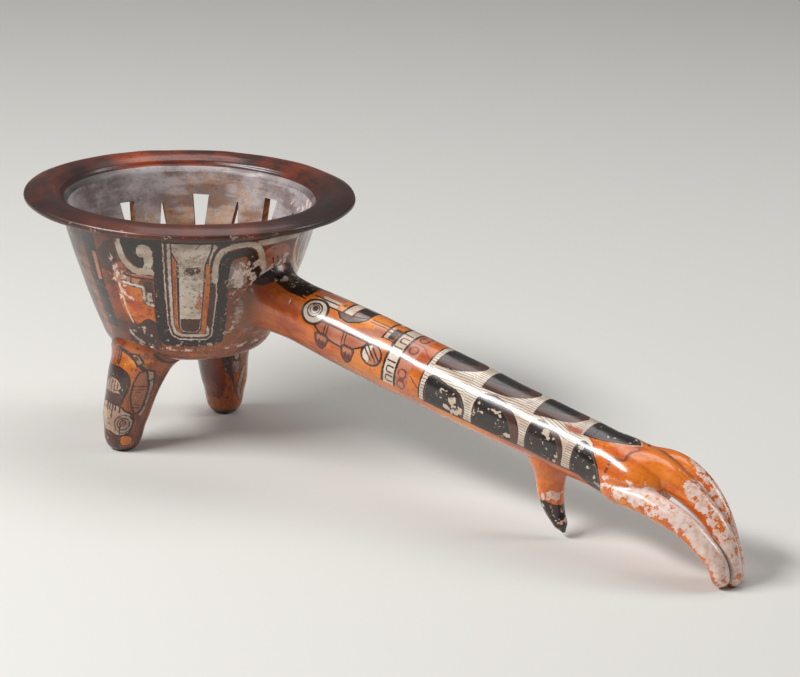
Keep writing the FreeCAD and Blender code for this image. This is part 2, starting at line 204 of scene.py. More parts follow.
world = bpy.data.worlds.new("surround")
bpy.context.scene.world = world
world.use_nodes = True
surround = world.node_tree
surround.nodes["Background"].inputs["Color"].default_value = linear(225, 226, 228)
light_path = surround.nodes.new("ShaderNodeLightPath")
seen = calc(surround, "MULTIPLY_ADD", light_path.outputs["Is Camera Ray"],
            backdrop_strength - fill_strength, fill_strength)
surround.links.new(seen, surround.nodes["Background"].inputs["Strength"])
bpy.context.scene.view_settings.view_transform = "Standard"

# %% [markdown]
# The slip. The potter coated the burnished body with thin coloured clays: cream,
# pink, brown, grey and black, and drew on them with a fine dark line. To get crisp
# painted edges without a picture, each colour is kept as a distance: at every point
# of the mesh, how far is it to the nearest edge of that colour, with less than zero
# inside. The material cuts each distance at zero, and a little noise added before
# the cut makes the ragged edge of old paint. A canvas holds these distances for one
# piece, and each new shape covers whatever lay under it.

# %% Distances to drawn shapes
FAR = 9.0
TUCK = 1.0
HUGE, TINY = 1e9, 1e-9
SLIPS = ("rust", "pink", "brown", "grey", "cream", "black", "line")
MASKS = ("wear", "shade", "pale", "warm")


def ramp(value, start, end):
    """0 at the start, 1 at the end, straight in between."""
    return np.clip((value - start) / (end - start), 0, 1)


def stroke_distance(a, b, points, width):
    """Distance to the edge of a brush stroke of this width along open points."""
    nearest = np.full(len(a), HUGE)
    for (a0, b0), (a1, b1) in zip(points[:-1], points[1:]):
        run, rise = a1 - a0, b1 - b0
        share = np.clip(((a - a0) * run + (b - b0) * rise) / max(run * run + rise * rise, TINY), 0, 1)
        nearest = np.minimum(nearest, np.hypot(a - a0 - share * run, b - b0 - share * rise))
    return nearest - width / 2


def polygon_distance(a, b, corners):
    """Signed distance to a closed outline, less than zero inside it."""
    inside = np.zeros(len(a), bool)
    ring = np.vstack([corners, corners[:1]])
    for (a0, b0), (a1, b1) in zip(ring[:-1], ring[1:]):
        if abs(b1 - b0) > TINY:
            inside ^= ((b0 > b) != (b1 > b)) & (a < a0 + (b - b0) * (a1 - a0) / (b1 - b0))
    nearest = stroke_distance(a, b, ring, 0)
    return np.where(inside, -nearest, nearest)


def curved(points, closed=False, steps=5):
    """A smooth line through a few given points."""
    points = np.array(points, float)
    count = len(points)
    pick = (lambda i: points[i % count]) if closed else (lambda i: points[min(max(i, 0), count - 1)])
    line = []
    for i in range(count if closed else count - 1):
        p0, p1, p2, p3 = pick(i - 1), pick(i), pick(i + 1), pick(i + 2)
        for t in np.arange(steps) / steps:
            line.append(0.5 * (2 * p1 + (p2 - p0) * t + (2 * p0 - 5 * p1 + 4 * p2 - p3) * t ** 2
                               + (3 * p1 - p0 - 3 * p2 + p3) * t ** 3))
    if not closed:
        line.append(points[-1])
    return np.array(line)


# %% The canvas
class Canvas:
    """The painted slip of one piece, over its own flat coordinates a and b in millimetres."""

    def __init__(self, a, b):
        self.a, self.b = a, b
        self.slip = {colour: np.full(len(a), FAR) for colour in SLIPS}
        self.hatch = np.full(len(a), FAR)
        self.phase = np.zeros(len(a))
        self.mask = {name: np.zeros(len(a)) for name in MASKS}
        self.flow = np.c_[a, b, np.zeros(len(a))]

    def near(self, points, room):
        low, high = np.min(points, axis=0) - room, np.max(points, axis=0) + room
        return (self.a > low[0]) & (self.a < high[0]) & (self.b > low[1]) & (self.b < high[1])

    def measured(self, points, measure, *rest):
        distance = np.full(len(self.a), FAR)
        close = self.near(points, FAR)
        distance[close] = measure(self.a[close], self.b[close], points, *rest)
        return np.minimum(distance, FAR)

    def area(self, points, smooth=False):
        corners = curved(points, True) if smooth else np.array(points, float)
        return self.measured(corners, polygon_distance)

    def band(self, a0, a1, b0, b1):
        return self.area([(a0, b0), (a1, b0), (a1, b1), (a0, b1)])

    def stroke(self, points, width, smooth=True):
        return self.measured(curved(points) if smooth else np.array(points, float), stroke_distance, width)

    def disc(self, a0, b0, across, down=None):
        down = down or across
        return (np.hypot((self.a - a0) / across, (self.b - b0) / down) - 1) * min(across, down)

    def paint(self, colour, shape, tuck=TUCK):
        """Lay one colour over all the others inside this shape.

        The material shows the slips in a fixed order, so a slip that lies under a
        later one reaches a little way beneath it, and no clay shows between the two.
        With a deep tuck it lies under the whole shape, and shows where that is chipped.
        """
        place = SLIPS.index(colour) if colour in SLIPS else -1
        above, below = SLIPS[place + 1:], SLIPS[:max(place, 0)]
        beside = np.minimum.reduce([self.slip[name] for name in above] + [np.full(len(self.a), FAR)])
        for name in above:
            self.slip[name] = np.maximum(self.slip[name], -shape)
        for name in below:
            self.slip[name] = np.maximum(self.slip[name], -shape - tuck)
        self.hatch = np.maximum(self.hatch, -shape)
        if colour != "ground":
            grown = np.where(beside < 0, shape - TUCK, shape)
            self.slip[colour] = np.minimum(self.slip[colour], grown)

    def fill(self, colour, corners, smooth=False, tuck=TUCK):
        self.paint(colour, self.area(corners, smooth), tuck)

    def draw(self, colour, points, width, smooth=True):
        self.paint(colour, self.stroke(points, width, smooth))

    def ink(self, points, width=0.8):
        """A straight pen line, or a bent one, in the dark slip."""
        self.draw("line", points, width, False)

    def bar(self, colour, a0, a1, b0, b1):
        self.paint(colour, self.band(a0, a1, b0, b1))

    def shaded(self, name, shape, amount, soft=4.0):
        """Raise a mask to this amount inside a shape, with a soft edge."""
        inside = amount * ramp(shape, soft / 2, -soft / 2)
        self.mask[name] = np.maximum(self.mask[name], inside)

    def outlined(self, colour, shape, width=0.9):
        self.paint(colour, shape)
        self.paint("line", np.abs(shape) - width / 2)

    def clear(self, where):
        """Take all the slip off these points."""
        for values in [*self.slip.values(), self.hatch]:
            values[where] = FAR

    def hatched(self, shape, phase):
        self.hatch = np.minimum(self.hatch, shape)
        self.phase = np.where(shape < 1.5, phase, self.phase)

    def keep(self, mesh):
        layers = {**self.slip, **self.mask, "hatch": self.hatch, "phase": self.phase}
        for name, values in layers.items():
            layer = mesh.attributes.new(name, "FLOAT", "POINT")
            layer.data.foreach_set("value", np.clip(values, -FAR * 9, FAR * 9).astype(np.float32))
        layer = mesh.attributes.new("flow", "FLOAT_VECTOR", "POINT")
        layer.data.foreach_set("vector", (self.flow * MM).astype(np.float32).ravel())


print("slip colours", SLIPS)

# %% [markdown]
# The clay's finish is one material for the whole pot, with a different ground colour
# on each piece. Under the slip the burnished body shifts between three tones. Each
# painted layer is cut from its distance, chips in the slip let the bare clay through,
# and the dark lines wear thin. Bare clay is rough, slip is smoother, and the burnished
# ground is smoothest, with faint streaks from the polishing stone.

# %% A graph for materials
crack_bend = 0.6


class Graph:
    """One material's nodes, with short calls for what clay needs."""

    def __init__(self, name):
        self.material = bpy.data.materials.new(name)
        self.material.use_nodes = True
        self.tree = self.material.node_tree
        self.shader = self.tree.nodes["Principled BSDF"]
        self.place = self.tree.nodes.new("ShaderNodeTexCoord").outputs["Object"]

    def noise(self, size, detail=3.0, roughness=0.55, shift=0.0, place=None):
        """Noise from 0 to 1 whose blobs are about this many millimetres across."""
        place = place or self.place
        if shift:
            moved = add(self.tree, "ShaderNodeMapping", {"Vector": place, "Location": (shift,) * 3})
            place = moved.outputs[0]
        made = add(self.tree, "ShaderNodeTexNoise", {
            "Vector": place, "Scale": 1 / (size * MM), "Detail": detail, "Roughness": roughness})
        return made.outputs["Fac"]

    def streaks(self, size, detail=3.0, roughness=0.55):
        """Noise that follows the strokes of the polishing stone."""
        flow = add(self.tree, "ShaderNodeAttribute", attribute_name="flow").outputs["Vector"]
        return self.noise(size, detail, roughness, place=flow)

    def cracks(self, size):
        """Distance from the lines of a fine net, as shares of its cells."""
        cell = size * MM
        bent = add(self.tree, "ShaderNodeTexNoise", {"Vector": self.place, "Scale": 1 / cell, "Detail": 2.0})
        bend = (crack_bend * cell,) * 3
        place = add(self.tree, "ShaderNodeVectorMath", {
            0: bent.outputs["Color"], 1: bend, 2: self.place}, operation="MULTIPLY_ADD")
        made = add(self.tree, "ShaderNodeTexVoronoi", {"Vector": place.outputs[0], "Scale": 1 / cell},
                   feature="DISTANCE_TO_EDGE")
        return made.outputs["Distance"]

    def attribute(self, name):
        return add(self.tree, "ShaderNodeAttribute", attribute_name=name).outputs["Fac"]

    def math(self, operation, a, b=0.0, c=0.0):
        return calc(self.tree, operation, a, b, c)

    def step(self, value, start, end, low=0.0, high=1.0):
        """A smooth step from low at start to high at end."""
        made = add(self.tree, "ShaderNodeMapRange", {
            "Value": value, "From Min": start, "From Max": end, "To Min": low, "To Max": high},
            interpolation_type="SMOOTHSTEP")
        return made.outputs["Result"]

    def mix(self, share, a, b):
        made = add(self.tree, "ShaderNodeMix", {0: share, 6: a, 7: b}, data_type="RGBA")
        return made.outputs[2]

    def blend(self, share, a, b):
        made = add(self.tree, "ShaderNodeMix", {0: share, 2: a, 3: b}, data_type="FLOAT")
        return made.outputs[0]

    def wire(self, socket, name):
        self.tree.links.new(socket, self.shader.inputs[name])

    def bump(self, strength, depth, relief):
        made = add(self.tree, "ShaderNodeBump", {
            "Strength": strength, "Distance": depth * MM, "Height": relief})
        self.wire(made.outputs["Normal"], "Normal")


# %% The clay and its slips
bare_clay = linear(204, 182, 160)
# The pale crust also stands for painted highlight, and the soot also stands for painted shade.
frost_and_highlight_tones = (linear(238, 218, 208), linear(220, 186, 170))
soot_and_shade_tone = linear(26, 19, 16)
crack_tone = linear(150, 50, 18)
orange_ground = (linear(216, 110, 26), linear(176, 74, 18), linear(230, 142, 52))
slip_tones = {
    "rust": (linear(138, 54, 24), linear(108, 40, 22)),
    "pink": (linear(196, 128, 98), linear(172, 98, 70)),
    "brown": (linear(92, 52, 38), linear(66, 38, 30)),
    "grey": (linear(158, 144, 140), linear(122, 98, 84)),
    "cream": (linear(226, 212, 196), linear(196, 172, 150)),
    "black": (linear(24, 18, 16), linear(42, 29, 24)),
    "line": (linear(40, 24, 19), linear(66, 38, 28)),
}
slip_chips = {"rust": 0.70, "pink": 0.70, "brown": 0.82, "grey": 0.72, "cream": 0.74, "black": 0.67,
              "line": 0.73}
wear_share, frost_and_highlight_share = 0.26, 0.42
rub_start, frost_and_highlight_start, fade = 0.77, 0.70, 0.03
edge_blur, line_fray, line_kept = 0.14, 0.45, 0.25


def ground_tone(g, tones, mottle, cloud):
    """Burnished clay that shifts between a middle, a dark and a light tone."""
    mid, dark, light = tones
    colour = g.mix(g.step(mottle, 0.42, 0.58), dark, mid)
    return g.mix(g.step(cloud, 0.45, 0.7, 0.0, 0.75), colour, light)


def painted_clay(name, mid, dark, light, warm_ground=orange_ground, tones=None, crumb_size=3.0, chipping=0.0,
                 gloss=0.24, coat=0.75, rag=1.1, stain=0.25, crackle=0.0, strokes=0.8, bareness=0.5):
    """Burnished clay with this ground, and whatever slip the piece's canvas holds."""
    g = Graph(name)
    mottle = g.blend(0.5, g.noise(17, 4.0, 0.6), g.streaks(6, 4.0, 0.6))
    cloud = g.noise(55, 2.0, 0.5, shift=3.1)
    grain = g.noise(1.1, 3.0, 0.7)
    crumb = g.noise(crumb_size, 4.0, 0.62, shift=7.7)
    crust = g.noise(6.0, 6.0, 0.68, shift=11.0)
    wear, shade, pale, warm = (g.attribute(mask) for mask in MASKS)

    colour = ground_tone(g, (mid, dark, light), mottle, cloud)
    warmth = g.math("MULTIPLY_ADD", g.math("SUBTRACT", crust, 0.5), 1.5, warm)
    warmth = g.math("MULTIPLY", g.step(warmth, 0.2, 0.7), g.step(warm, 0.0, 0.15))
    colour = g.mix(warmth, colour, ground_tone(g, warm_ground, mottle, cloud))
    speck = g.step(g.noise(2.2, 2.0, 0.5, shift=1.7), 0.62, 0.70, 0.0, 0.6)
    colour = g.mix(speck, colour, dark)
    if crackle:
        crack = g.step(g.math("MULTIPLY_ADD", grain, 0.10, g.cracks(11)), 0.14, 0.04, 0.0, crackle)
        crack = g.math("MULTIPLY", crack, g.step(cloud, 0.38, 0.55))
        colour = g.mix(crack, colour, crack_tone)

    chip_field = g.math("MULTIPLY_ADD", wear, wear_share, crumb)
    ragged = g.math("MULTIPLY_ADD", g.math("ADD", grain, crumb), rag, -rag)
    covered = 0.0
    for slip, (tone, worn_tone) in {**slip_tones, **(tones or {})}.items():
        fray, least = (g.math("MULTIPLY", ragged, line_fray), line_kept) if slip == "line" else (ragged, 0.0)
        inside = g.step(g.math("ADD", g.attribute(slip), fray), edge_blur, -edge_blur)
        start = slip_chips[slip] - chipping
        kept = g.step(chip_field, start, start + fade, 1.0, least)
        tone_here = g.mix(g.step(mottle, 0.38, 0.62), tone, worn_tone)
        under = g.mix(g.step(crust, bareness, bareness + 0.08), bare_clay, colour)
        laid = g.mix(kept, under, tone_here)
        colour = g.mix(inside, colour, laid)
        covered = g.math("MAXIMUM", g.math("MULTIPLY", inside, kept), covered)

    comb = g.math("ABSOLUTE", g.math("SUBTRACT", g.math("FRACT", g.attribute("phase")), 0.5))
    tick = g.step(g.math("MULTIPLY_ADD", grain, 0.20, comb), 0.25, 0.18)
    ticked = g.math("MULTIPLY", tick, g.step(g.attribute("hatch"), 0.2, -0.2))
    colour = g.mix(g.math("MULTIPLY", ticked, 0.85), colour, slip_tones["line"][0])

    grime = g.step(g.noise(2.8, 5.0, 0.70, shift=23.0), 0.56, 0.64, 0.0, stain)
    colour = g.mix(grime, colour, slip_tones["line"][1])
    rubbed = g.step(chip_field, rub_start, rub_start + fade, 0.0, 0.85)
    colour = g.mix(rubbed, colour, bare_clay)
    # The pale mask lays a pale pink crust. This is real crust and rubbed wear, and on the claw's lit crests
    # and the rim's front lip it is also a painted highlight.
    frost_and_highlight = g.math("MULTIPLY_ADD", pale, frost_and_highlight_share, crust)
    frost_and_highlight = g.step(frost_and_highlight, frost_and_highlight_start, frost_and_highlight_start + 0.04, 0.0, 0.92)
    frost_and_highlight_tone = g.mix(g.step(crumb, 0.38, 0.64), *frost_and_highlight_tones)
    colour = g.mix(frost_and_highlight, colour, frost_and_highlight_tone)
    # Where the shade mask is raised the clay goes nearly black. Inside the bowl this is soot and painted
    # shade together. Elsewhere it is painted shade: in creases, under the rim and the handle, at the feet and
    # on the rim's sides turned from the light.
    soot_and_shade = g.math("MULTIPLY_ADD", g.math("SUBTRACT", mottle, 0.5), 1.4, shade)
    soot_and_shade = g.math("MULTIPLY", g.step(soot_and_shade, 0.05, 0.95, 0.0, 0.95), g.step(shade, 0.0, 0.1))
    colour = g.mix(soot_and_shade, colour, soot_and_shade_tone)
    g.wire(colour, "Base Color")

    polish = g.step(g.streaks(5, 3.0, 0.6), 0.3, 0.7, gloss - 0.06, gloss + 0.12)
    dull = rubbed
    for layer, dullness in ((covered, 0.15), (frost_and_highlight, 0.35), (soot_and_shade, 0.6)):
        dull = g.math("MAXIMUM", dull, g.math("MULTIPLY", layer, dullness))
    g.wire(g.blend(dull, polish, 0.62), "Roughness")
    g.shader.inputs["Specular IOR Level"].default_value = 0.5
    g.shader.inputs["Coat Weight"].default_value = coat
    g.shader.inputs["Coat Roughness"].default_value = 0.17

    relief = g.math("MULTIPLY_ADD", covered, 0.40, g.math("MULTIPLY", grain, 0.12))
    relief = g.math("MULTIPLY_ADD", g.streaks(3.5, 3.0, 0.5), strokes, relief)
    relief = g.math("MULTIPLY_ADD", g.math("MAXIMUM", rubbed, frost_and_highlight), 0.35, relief)
    g.bump(0.35, 0.4, relief)
    return g.material


orange_clay = painted_clay("orange_clay", *orange_ground, bareness=0.56)
bowl_clay = painted_clay("bowl_clay", linear(142, 66, 30), linear(86, 44, 28), linear(180, 98, 44),
                         crumb_size=2.3, rag=1.6, stain=0.7, coat=0.6, bareness=0.42)
lining_clay = painted_clay("lining_clay", linear(174, 163, 163), linear(126, 110, 108), linear(214, 206, 208),
                           warm_ground=(linear(182, 140, 104), linear(134, 96, 72), linear(196, 158, 124)),
                           stain=0.35, gloss=0.42, coat=0.1, strokes=0.4)
leg_clay = painted_clay("leg_clay", linear(168, 80, 28), linear(104, 48, 24), linear(200, 112, 42),
                        warm_ground=(linear(222, 140, 48), linear(198, 108, 34), linear(232, 164, 78)),
                        tones={"black": (linear(72, 52, 46), linear(54, 38, 34)),
                               "cream": (linear(182, 158, 138), linear(150, 118, 96)),
                               "pink": (linear(162, 100, 70), linear(132, 78, 54))},
                        crumb_size=2.3, chipping=0.03, rag=1.6, stain=0.9, coat=0.6)
rim_clay = painted_clay("rim_clay", linear(118, 48, 26), linear(58, 32, 25), linear(172, 72, 32), gloss=0.30,
                        coat=0.35, strokes=0.3)
claw_clay = painted_clay("claw_clay", linear(234, 128, 36), linear(204, 94, 24), linear(242, 162, 72),
                         gloss=0.20, crackle=0.55)
print("materials", [m.name for m in bpy.data.materials if m.name.endswith("clay")])


# %% Cut clay
def plain_clay(name, tone, deep, roughness):
    """Bare clay, for the cut sides of the slots and the loose pellets."""
    g = Graph(name)
    g.wire(g.mix(g.step(g.noise(3, 4.0, 0.6), 0.35, 0.65), tone, deep), "Base Color")
    g.shader.inputs["Roughness"].default_value = roughness
    g.bump(0.5, 0.3, g.noise(0.9, 3.0, 0.7))
    return g.material


cut_clay = plain_clay("cut_clay", linear(176, 112, 70), linear(120, 68, 42), 0.75)
pellet_clay = plain_clay("pellet_clay", linear(168, 110, 74), linear(134, 82, 54), 0.85)

# %% [markdown]
# The bowl, its rim and the handle are bodies of turning: one outline carried round
# an axis. Geometry Nodes make them from a grid whose rows take their places from the
# outline's points and whose columns turn about Z. The outline's own points set how
# fine each stretch is, so the painted side can be dense and the hidden side coarse.

# %% Node tree: turned clay
def new_tree(name, inputs):
    tree = bpy.data.node_groups.new(name, "GeometryNodeTree")
    tree.is_modifier = True
    tree.interface.new_socket("Geometry", in_out="OUTPUT", socket_type="NodeSocketGeometry")
    for label, kind in inputs:
        tree.interface.new_socket(label, in_out="INPUT", socket_type="NodeSocket" + kind)
    return tree, tree.nodes.new("NodeGroupInput").outputs


def turned_tree():
    tree, given = new_tree("turned clay", [("Outline", "Object"), ("Columns", "Int"), ("Finish", "Material")])
    here = tree.nodes.new("GeometryNodeInputPosition").outputs[0]
    outline = add(tree, "GeometryNodeObjectInfo", {"Object": given["Outline"]}).outputs["Geometry"]
    rows = add(tree, "GeometryNodeAttributeDomainSize", {"Geometry": outline}, component="CURVE")
    rows = rows.outputs["Point Count"]
    last_row = calc(tree, "SUBTRACT", rows, 1.0)
    grid = add(tree, "GeometryNodeMeshGrid", {
        "Size X": 1.0, "Size Y": last_row, "Vertices X": calc(tree, "ADD", given["Columns"], 1.0),
        "Vertices Y": rows})
    spot = add(tree, "ShaderNodeSeparateXYZ", {0: here})
    turn = calc(tree, "MULTIPLY", spot.outputs["X"], 2 * math.pi)
    row = calc(tree, "ROUND", calc(tree, "MULTIPLY_ADD", last_row, 0.5, spot.outputs["Y"]))
    place = add(tree, "GeometryNodeSampleIndex", {"Geometry": outline, "Value": here, "Index": row},
                data_type="FLOAT_VECTOR", domain="POINT")
    turned = add(tree, "ShaderNodeVectorRotate", {"Vector": place.outputs[0], "Angle": turn},
                 rotation_type="Z_AXIS")
    body = grid
    for kind, inputs in (("SetPosition", {"Position": turned.outputs[0]}),
                         ("MergeByDistance", {"Distance": 0.01 * MM}),
                         ("RealizeInstances", {}),
                         ("SetMaterial", {"Material": given["Finish"]})):
        body = add(tree, "GeometryNode" + kind, {"Geometry": body.outputs[0], **inputs})
    add(tree, "NodeGroupOutput", {"Geometry": body.outputs[0]})
    return tree


turned_clay = turned_tree()
print("tree", turned_clay.name, "with", len(turned_clay.nodes), "nodes")


# %% Running a tree
def finished_mesh(body):
    """What an object's modifiers make of it, as a plain mesh. The object goes."""
    graph = bpy.context.evaluated_depsgraph_get()
    made = bpy.data.meshes.new_from_object(body.evaluated_get(graph), depsgraph=graph)
    bpy.data.objects.remove(body)
    return made


def run_tree(tree, mesh=None, **inputs):
    """Put a tree on a plain object, give it its inputs, and return what it makes as a mesh."""
    host = linked("host", mesh or bpy.data.meshes.new("host"))
    modifier = host.modifiers.new("tree", "NODES")
    modifier.node_group = tree
    sockets = {item.name: item.identifier for item in tree.interface.items_tree if item.in_out == "INPUT"}
    for name, value in inputs.items():
        modifier[sockets[name]] = value
    return finished_mesh(host)


def outline_object(points):
    """A poly curve in the XZ plane from radius and height, in millimetres."""
    curve = bpy.data.curves.new("outline", "CURVE")
    curve.dimensions = "3D"
    spline = curve.splines.new("POLY")
    spline.points.add(len(points) - 1)
    for spot, (radius, height) in zip(spline.points, points):
        spot.co = (radius * MM, 0, height * MM, 1)
    return linked("outline", curve)


def turn_outline(points, columns, finish):
    """Turn an outline once about Z."""
    holder = outline_object(points)
    mesh = run_tree(turned_clay, Outline=holder, Columns=columns, Finish=finish)
    bpy.data.objects.remove(holder)
    return mesh


# %% [markdown]
# Once a mesh is plain, its points are an array, and shaping is arithmetic. Hand-built
# clay is never quite true, so every piece gets the same slow wobble of a quarter of
# a millimetre. It depends only on the place, so pieces that touch still touch.

# %% Working on points
def points_of(mesh):
    flat = np.empty(len(mesh.vertices) * 3, np.float32)
    mesh.vertices.foreach_get("co", flat)
    return flat.reshape(-1, 3).astype(float) / MM


def normals_of(mesh):
    flat = np.empty(len(mesh.vertices) * 3, np.float32)
    mesh.vertex_normals.foreach_get("vector", flat)
    return flat.reshape(-1, 3).astype(float)


def set_points(mesh, points):
    mesh.vertices.foreach_set("co", (points * MM).astype(np.float32).ravel())
    mesh.update()


wobble_height, ground_fade = 0.22, 3.0


def wobble(points):
    """Slow unevenness of hand work, in millimetres, from the place alone."""
    x, y, z = points.T / 10
    swell = np.sin(0.9 * x + 0.4 * z + 1.3) * np.cos(0.7 * y - 0.5 * z)
    ripple = np.sin(1.9 * y + 1.1 * x + 0.6) * np.cos(1.6 * z + 0.8 * x)
    return wobble_height * (swell + 0.6 * ripple)


def roughen(mesh):
    """Push each point along its normal by the wobble. The ground stays flat."""
    points = points_of(mesh)
    push = wobble(points) * ramp(points[:, 2], 0, ground_fade)
    set_points(mesh, points + normals_of(mesh) * push[:, None])


def place_piece(name, mesh, nodes, materials=()):
    """Make the finished mesh a piece: it rides on the pot and stands for these plain solids."""
    for material in materials:
        mesh.materials.append(material)
    roughen(mesh)
    set_points(mesh, points_of(mesh) + [bowl_x, 0, 0])
    mesh.shade_smooth()
    mesh.set_sharp_from_angle(angle=math.radians(50))
    piece = linked(name, mesh)
    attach(piece, "root")
    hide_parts(*nodes)
    print(name, len(mesh.vertices), "points")
    return piece


def line_with(mesh, inner, material):
    """Give this finish to the faces whose points are named, and leave the cuts alone."""
    cut = mesh.materials.find("cut_clay")
    mesh.materials.append(material)
    starts = np.empty(len(mesh.polygons), np.int32)
    corners = np.empty(len(mesh.loops), np.int32)
    finish = np.empty(len(mesh.polygons), np.int32)
    mesh.polygons.foreach_get("loop_start", starts)
    mesh.loops.foreach_get("vertex_index", corners)
    mesh.polygons.foreach_get("material_index", finish)
    finish[inner[corners[starts]] & (finish != cut)] = len(mesh.materials) - 1
    mesh.polygons.foreach_set("material_index", finish)


def arc_through(a, b, c, spacing):
    """Points on the circle's arc from a through b to c, this far apart."""
    a, b, c = (np.array(point, float) for point in (a, b, c))
    sides = np.array([b - a, c - a])
    squares = np.array([(b @ b - a @ a) / 2, (c @ c - a @ a) / 2])
    centre = np.linalg.solve(sides, squares)
    radius = np.hypot(*(a - centre))
    start, mid, end = (math.atan2(point[1] - centre[1], point[0] - centre[0]) for point in (a, b, c))
    turn = (end - start) % (2 * math.pi)
    if (mid - start) % (2 * math.pi) > turn:
        turn -= 2 * math.pi
    count = max(2, round(abs(turn) * radius / spacing))
    angles = start + turn * np.arange(count + 1) / count
    return np.c_[centre[0] + radius * np.cos(angles), centre[1] + radius * np.sin(angles)]


def straight(a, b, spacing):
    a, b = np.array(a, float), np.array(b, float)
    count = max(1, round(np.hypot(*(b - a)) / spacing))
    return a + (b - a) * (np.arange(count + 1) / count)[:, None]


def joined(*stretches):
    """One outline from stretches that end where the next begins."""
    return np.vstack([stretches[0]] + [stretch[1:] for stretch in stretches[1:]])


fine, medium, coarse = 0.8, 1.2, 2.0
wall_columns, floor_columns, rim_columns, handle_columns = 600, 320, 480, 200


def through(*corners, spacing=coarse):
    """Straight stretches from corner to corner."""
    return joined(*(straight(a, b, spacing) for a, b in zip(corners, corners[1:])))


# %% [markdown]
# The bowl's wall leans outwards and swells a little. Its outer face carries the
# painting, so it is divided every 0.8 mm, and its inner face every 2 mm.

# %% Outline of the bowl
def wall_point(share, inset):
    """A point of the wall's section: share 0 at the foot, 1 at the top."""
    rise = wall_top_height - wall_foot_height
    run = wall_top_radius - wall_foot_radius
    slant = math.hypot(rise, run)
    out = wall_bulge * 4 * share * (1 - share) - inset
    return (wall_foot_radius + run * share + out * rise / slant,
            wall_foot_height + rise * share - out * run / slant)


outer_foot, outer_middle, outer_top = (wall_point(share, 0) for share in (0, 0.5, 1))
inner_foot, inner_middle, inner_top = (wall_point(share, wall_thickness) for share in (0, 0.5, 1))
outer_wall = arc_through(outer_foot, outer_middle, outer_top, fine)
inner_wall = arc_through(inner_top, inner_middle, inner_foot, coarse)

floor_top = floor_height + floor_thickness
flat_edge = (floor_flat_radius, floor_height)
outer_bend, inner_bend = (0.68, 0.32), (0.66, 0.30)
outer_corner = (floor_flat_radius + outer_bend[0] * (wall_foot_radius - floor_flat_radius),
                floor_height + outer_bend[1] * (wall_foot_height - floor_height))
inner_flat_edge = (floor_flat_radius - wall_thickness / 2, floor_top)
inner_corner = (inner_flat_edge[0] + inner_bend[0] * (inner_foot[0] - inner_flat_edge[0]),
                floor_top + inner_bend[1] * (inner_foot[1] - floor_top))
under_bowl = joined(straight((0, floor_height), flat_edge, medium),
                    arc_through(flat_edge, outer_corner, outer_foot, medium))
bowl_section = np.vstack([under_bowl, outer_wall[1:], [(0, outer_top[1])]])


def outside_bowl(points):
    """Signed distance from the bowl's outer surface, less than zero inside its form."""
    radius = np.hypot(points[:, 0], points[:, 1])
    return polygon_distance(radius, points[:, 2], bowl_section)


print("wall outline", len(outer_wall), "rows outside,", len(inner_wall), "inside")

# %% [markdown]
# The draught slots stand in a row through the wall, wedges and triangles in turn.
# A tree sets the two cutters round the wall, each stretched to its own height, and
# cuts them away. The cutters carry the material of the cut, so the sides of the
# slots come out as bare clay.

# %% Node tree: slot row
slot_middle, slot_pitch = math.radians(124.4), math.radians(19.9)
slot_foot, slot_fall, slot_count = 104.0, 1.3, 7
wedge_widths, wedge_height = (3.6, 10.4), 29.0
triangle_widths, triangle_height = (7.4, 0.8), 25.0


def slot_tree():
    tree, given = new_tree("slot row", [
        ("Wall", "Geometry"), ("Wedge", "Object"), ("Triangle", "Object"), ("Count", "Int"),
        ("Middle", "Float"), ("Pitch", "Float"), ("Foot", "Float"), ("Fall", "Float")])
    marks = add(tree, "GeometryNodeMeshLine", {"Count": given["Count"], "Offset": (0, 0, 0)})
    foot = add(tree, "ShaderNodeCombineXYZ", {"Z": given["Foot"]})
    marks = add(tree, "GeometryNodeSetPosition", {"Geometry": marks.outputs[0], "Position": foot.outputs[0]})
    index = tree.nodes.new("GeometryNodeInputIndex").outputs[0]
    step = calc(tree, "SUBTRACT", index, calc(tree, "MULTIPLY_ADD", given["Count"], 0.5, -0.5))
    turn = calc(tree, "MULTIPLY_ADD", step, given["Pitch"], given["Middle"])
    turn = add(tree, "ShaderNodeCombineXYZ", {"Z": turn}).outputs[0]
    odd = calc(tree, "MODULO", index, 2.0)
    even = calc(tree, "SUBTRACT", 1.0, odd)
    cutters = tree.nodes.new("GeometryNodeJoinGeometry")
    for label, chosen, height in (("Wedge", odd, wedge_height), ("Triangle", even, triangle_height)):
        loss = calc(tree, "DIVIDE", given["Fall"], -height)
        tall = calc(tree, "MULTIPLY_ADD", step, loss, 1.0)
        size = add(tree, "ShaderNodeCombineXYZ", {"X": 1.0, "Y": 1.0, "Z": tall})
        cutter = add(tree, "GeometryNodeObjectInfo", {"Object": given[label]})
        row = add(tree, "GeometryNodeInstanceOnPoints", {
            "Points": marks.outputs[0], "Selection": chosen, "Instance": cutter.outputs["Geometry"],
            "Rotation": turn, "Scale": size.outputs[0]})
        tree.links.new(row.outputs[0], cutters.inputs[0])
    solid = add(tree, "GeometryNodeRealizeInstances", {"Geometry": cutters.outputs[0]})
    cut = add(tree, "GeometryNodeMeshBoolean", {0: given["Wall"], 1: solid.outputs[0]},
              operation="DIFFERENCE", solver="EXACT")
    add(tree, "NodeGroupOutput", {"Geometry": cut.outputs[0]})
    return tree


def slot_cutter(name, widths, height):
    """A prism with this outline that reaches out through the wall, its foot at its own zero."""
    inner, outer = inner_foot[0], rim_radius
    corners = [(-widths[0] / 2, 0), (widths[0] / 2, 0), (widths[1] / 2, height), (-widths[1] / 2, height)]
    places = [(x * MM, y * MM, z * MM) for x in (inner, outer) for y, z in corners]
    faces = [(3, 2, 1, 0), (4, 5, 6, 7), (0, 1, 5, 4), (1, 2, 6, 5), (2, 3, 7, 6), (3, 0, 4, 7)]
    mesh = bpy.data.meshes.new(name)
    mesh.from_pydata(places, [], faces)
    mesh.materials.append(cut_clay)
    return linked(name, mesh)


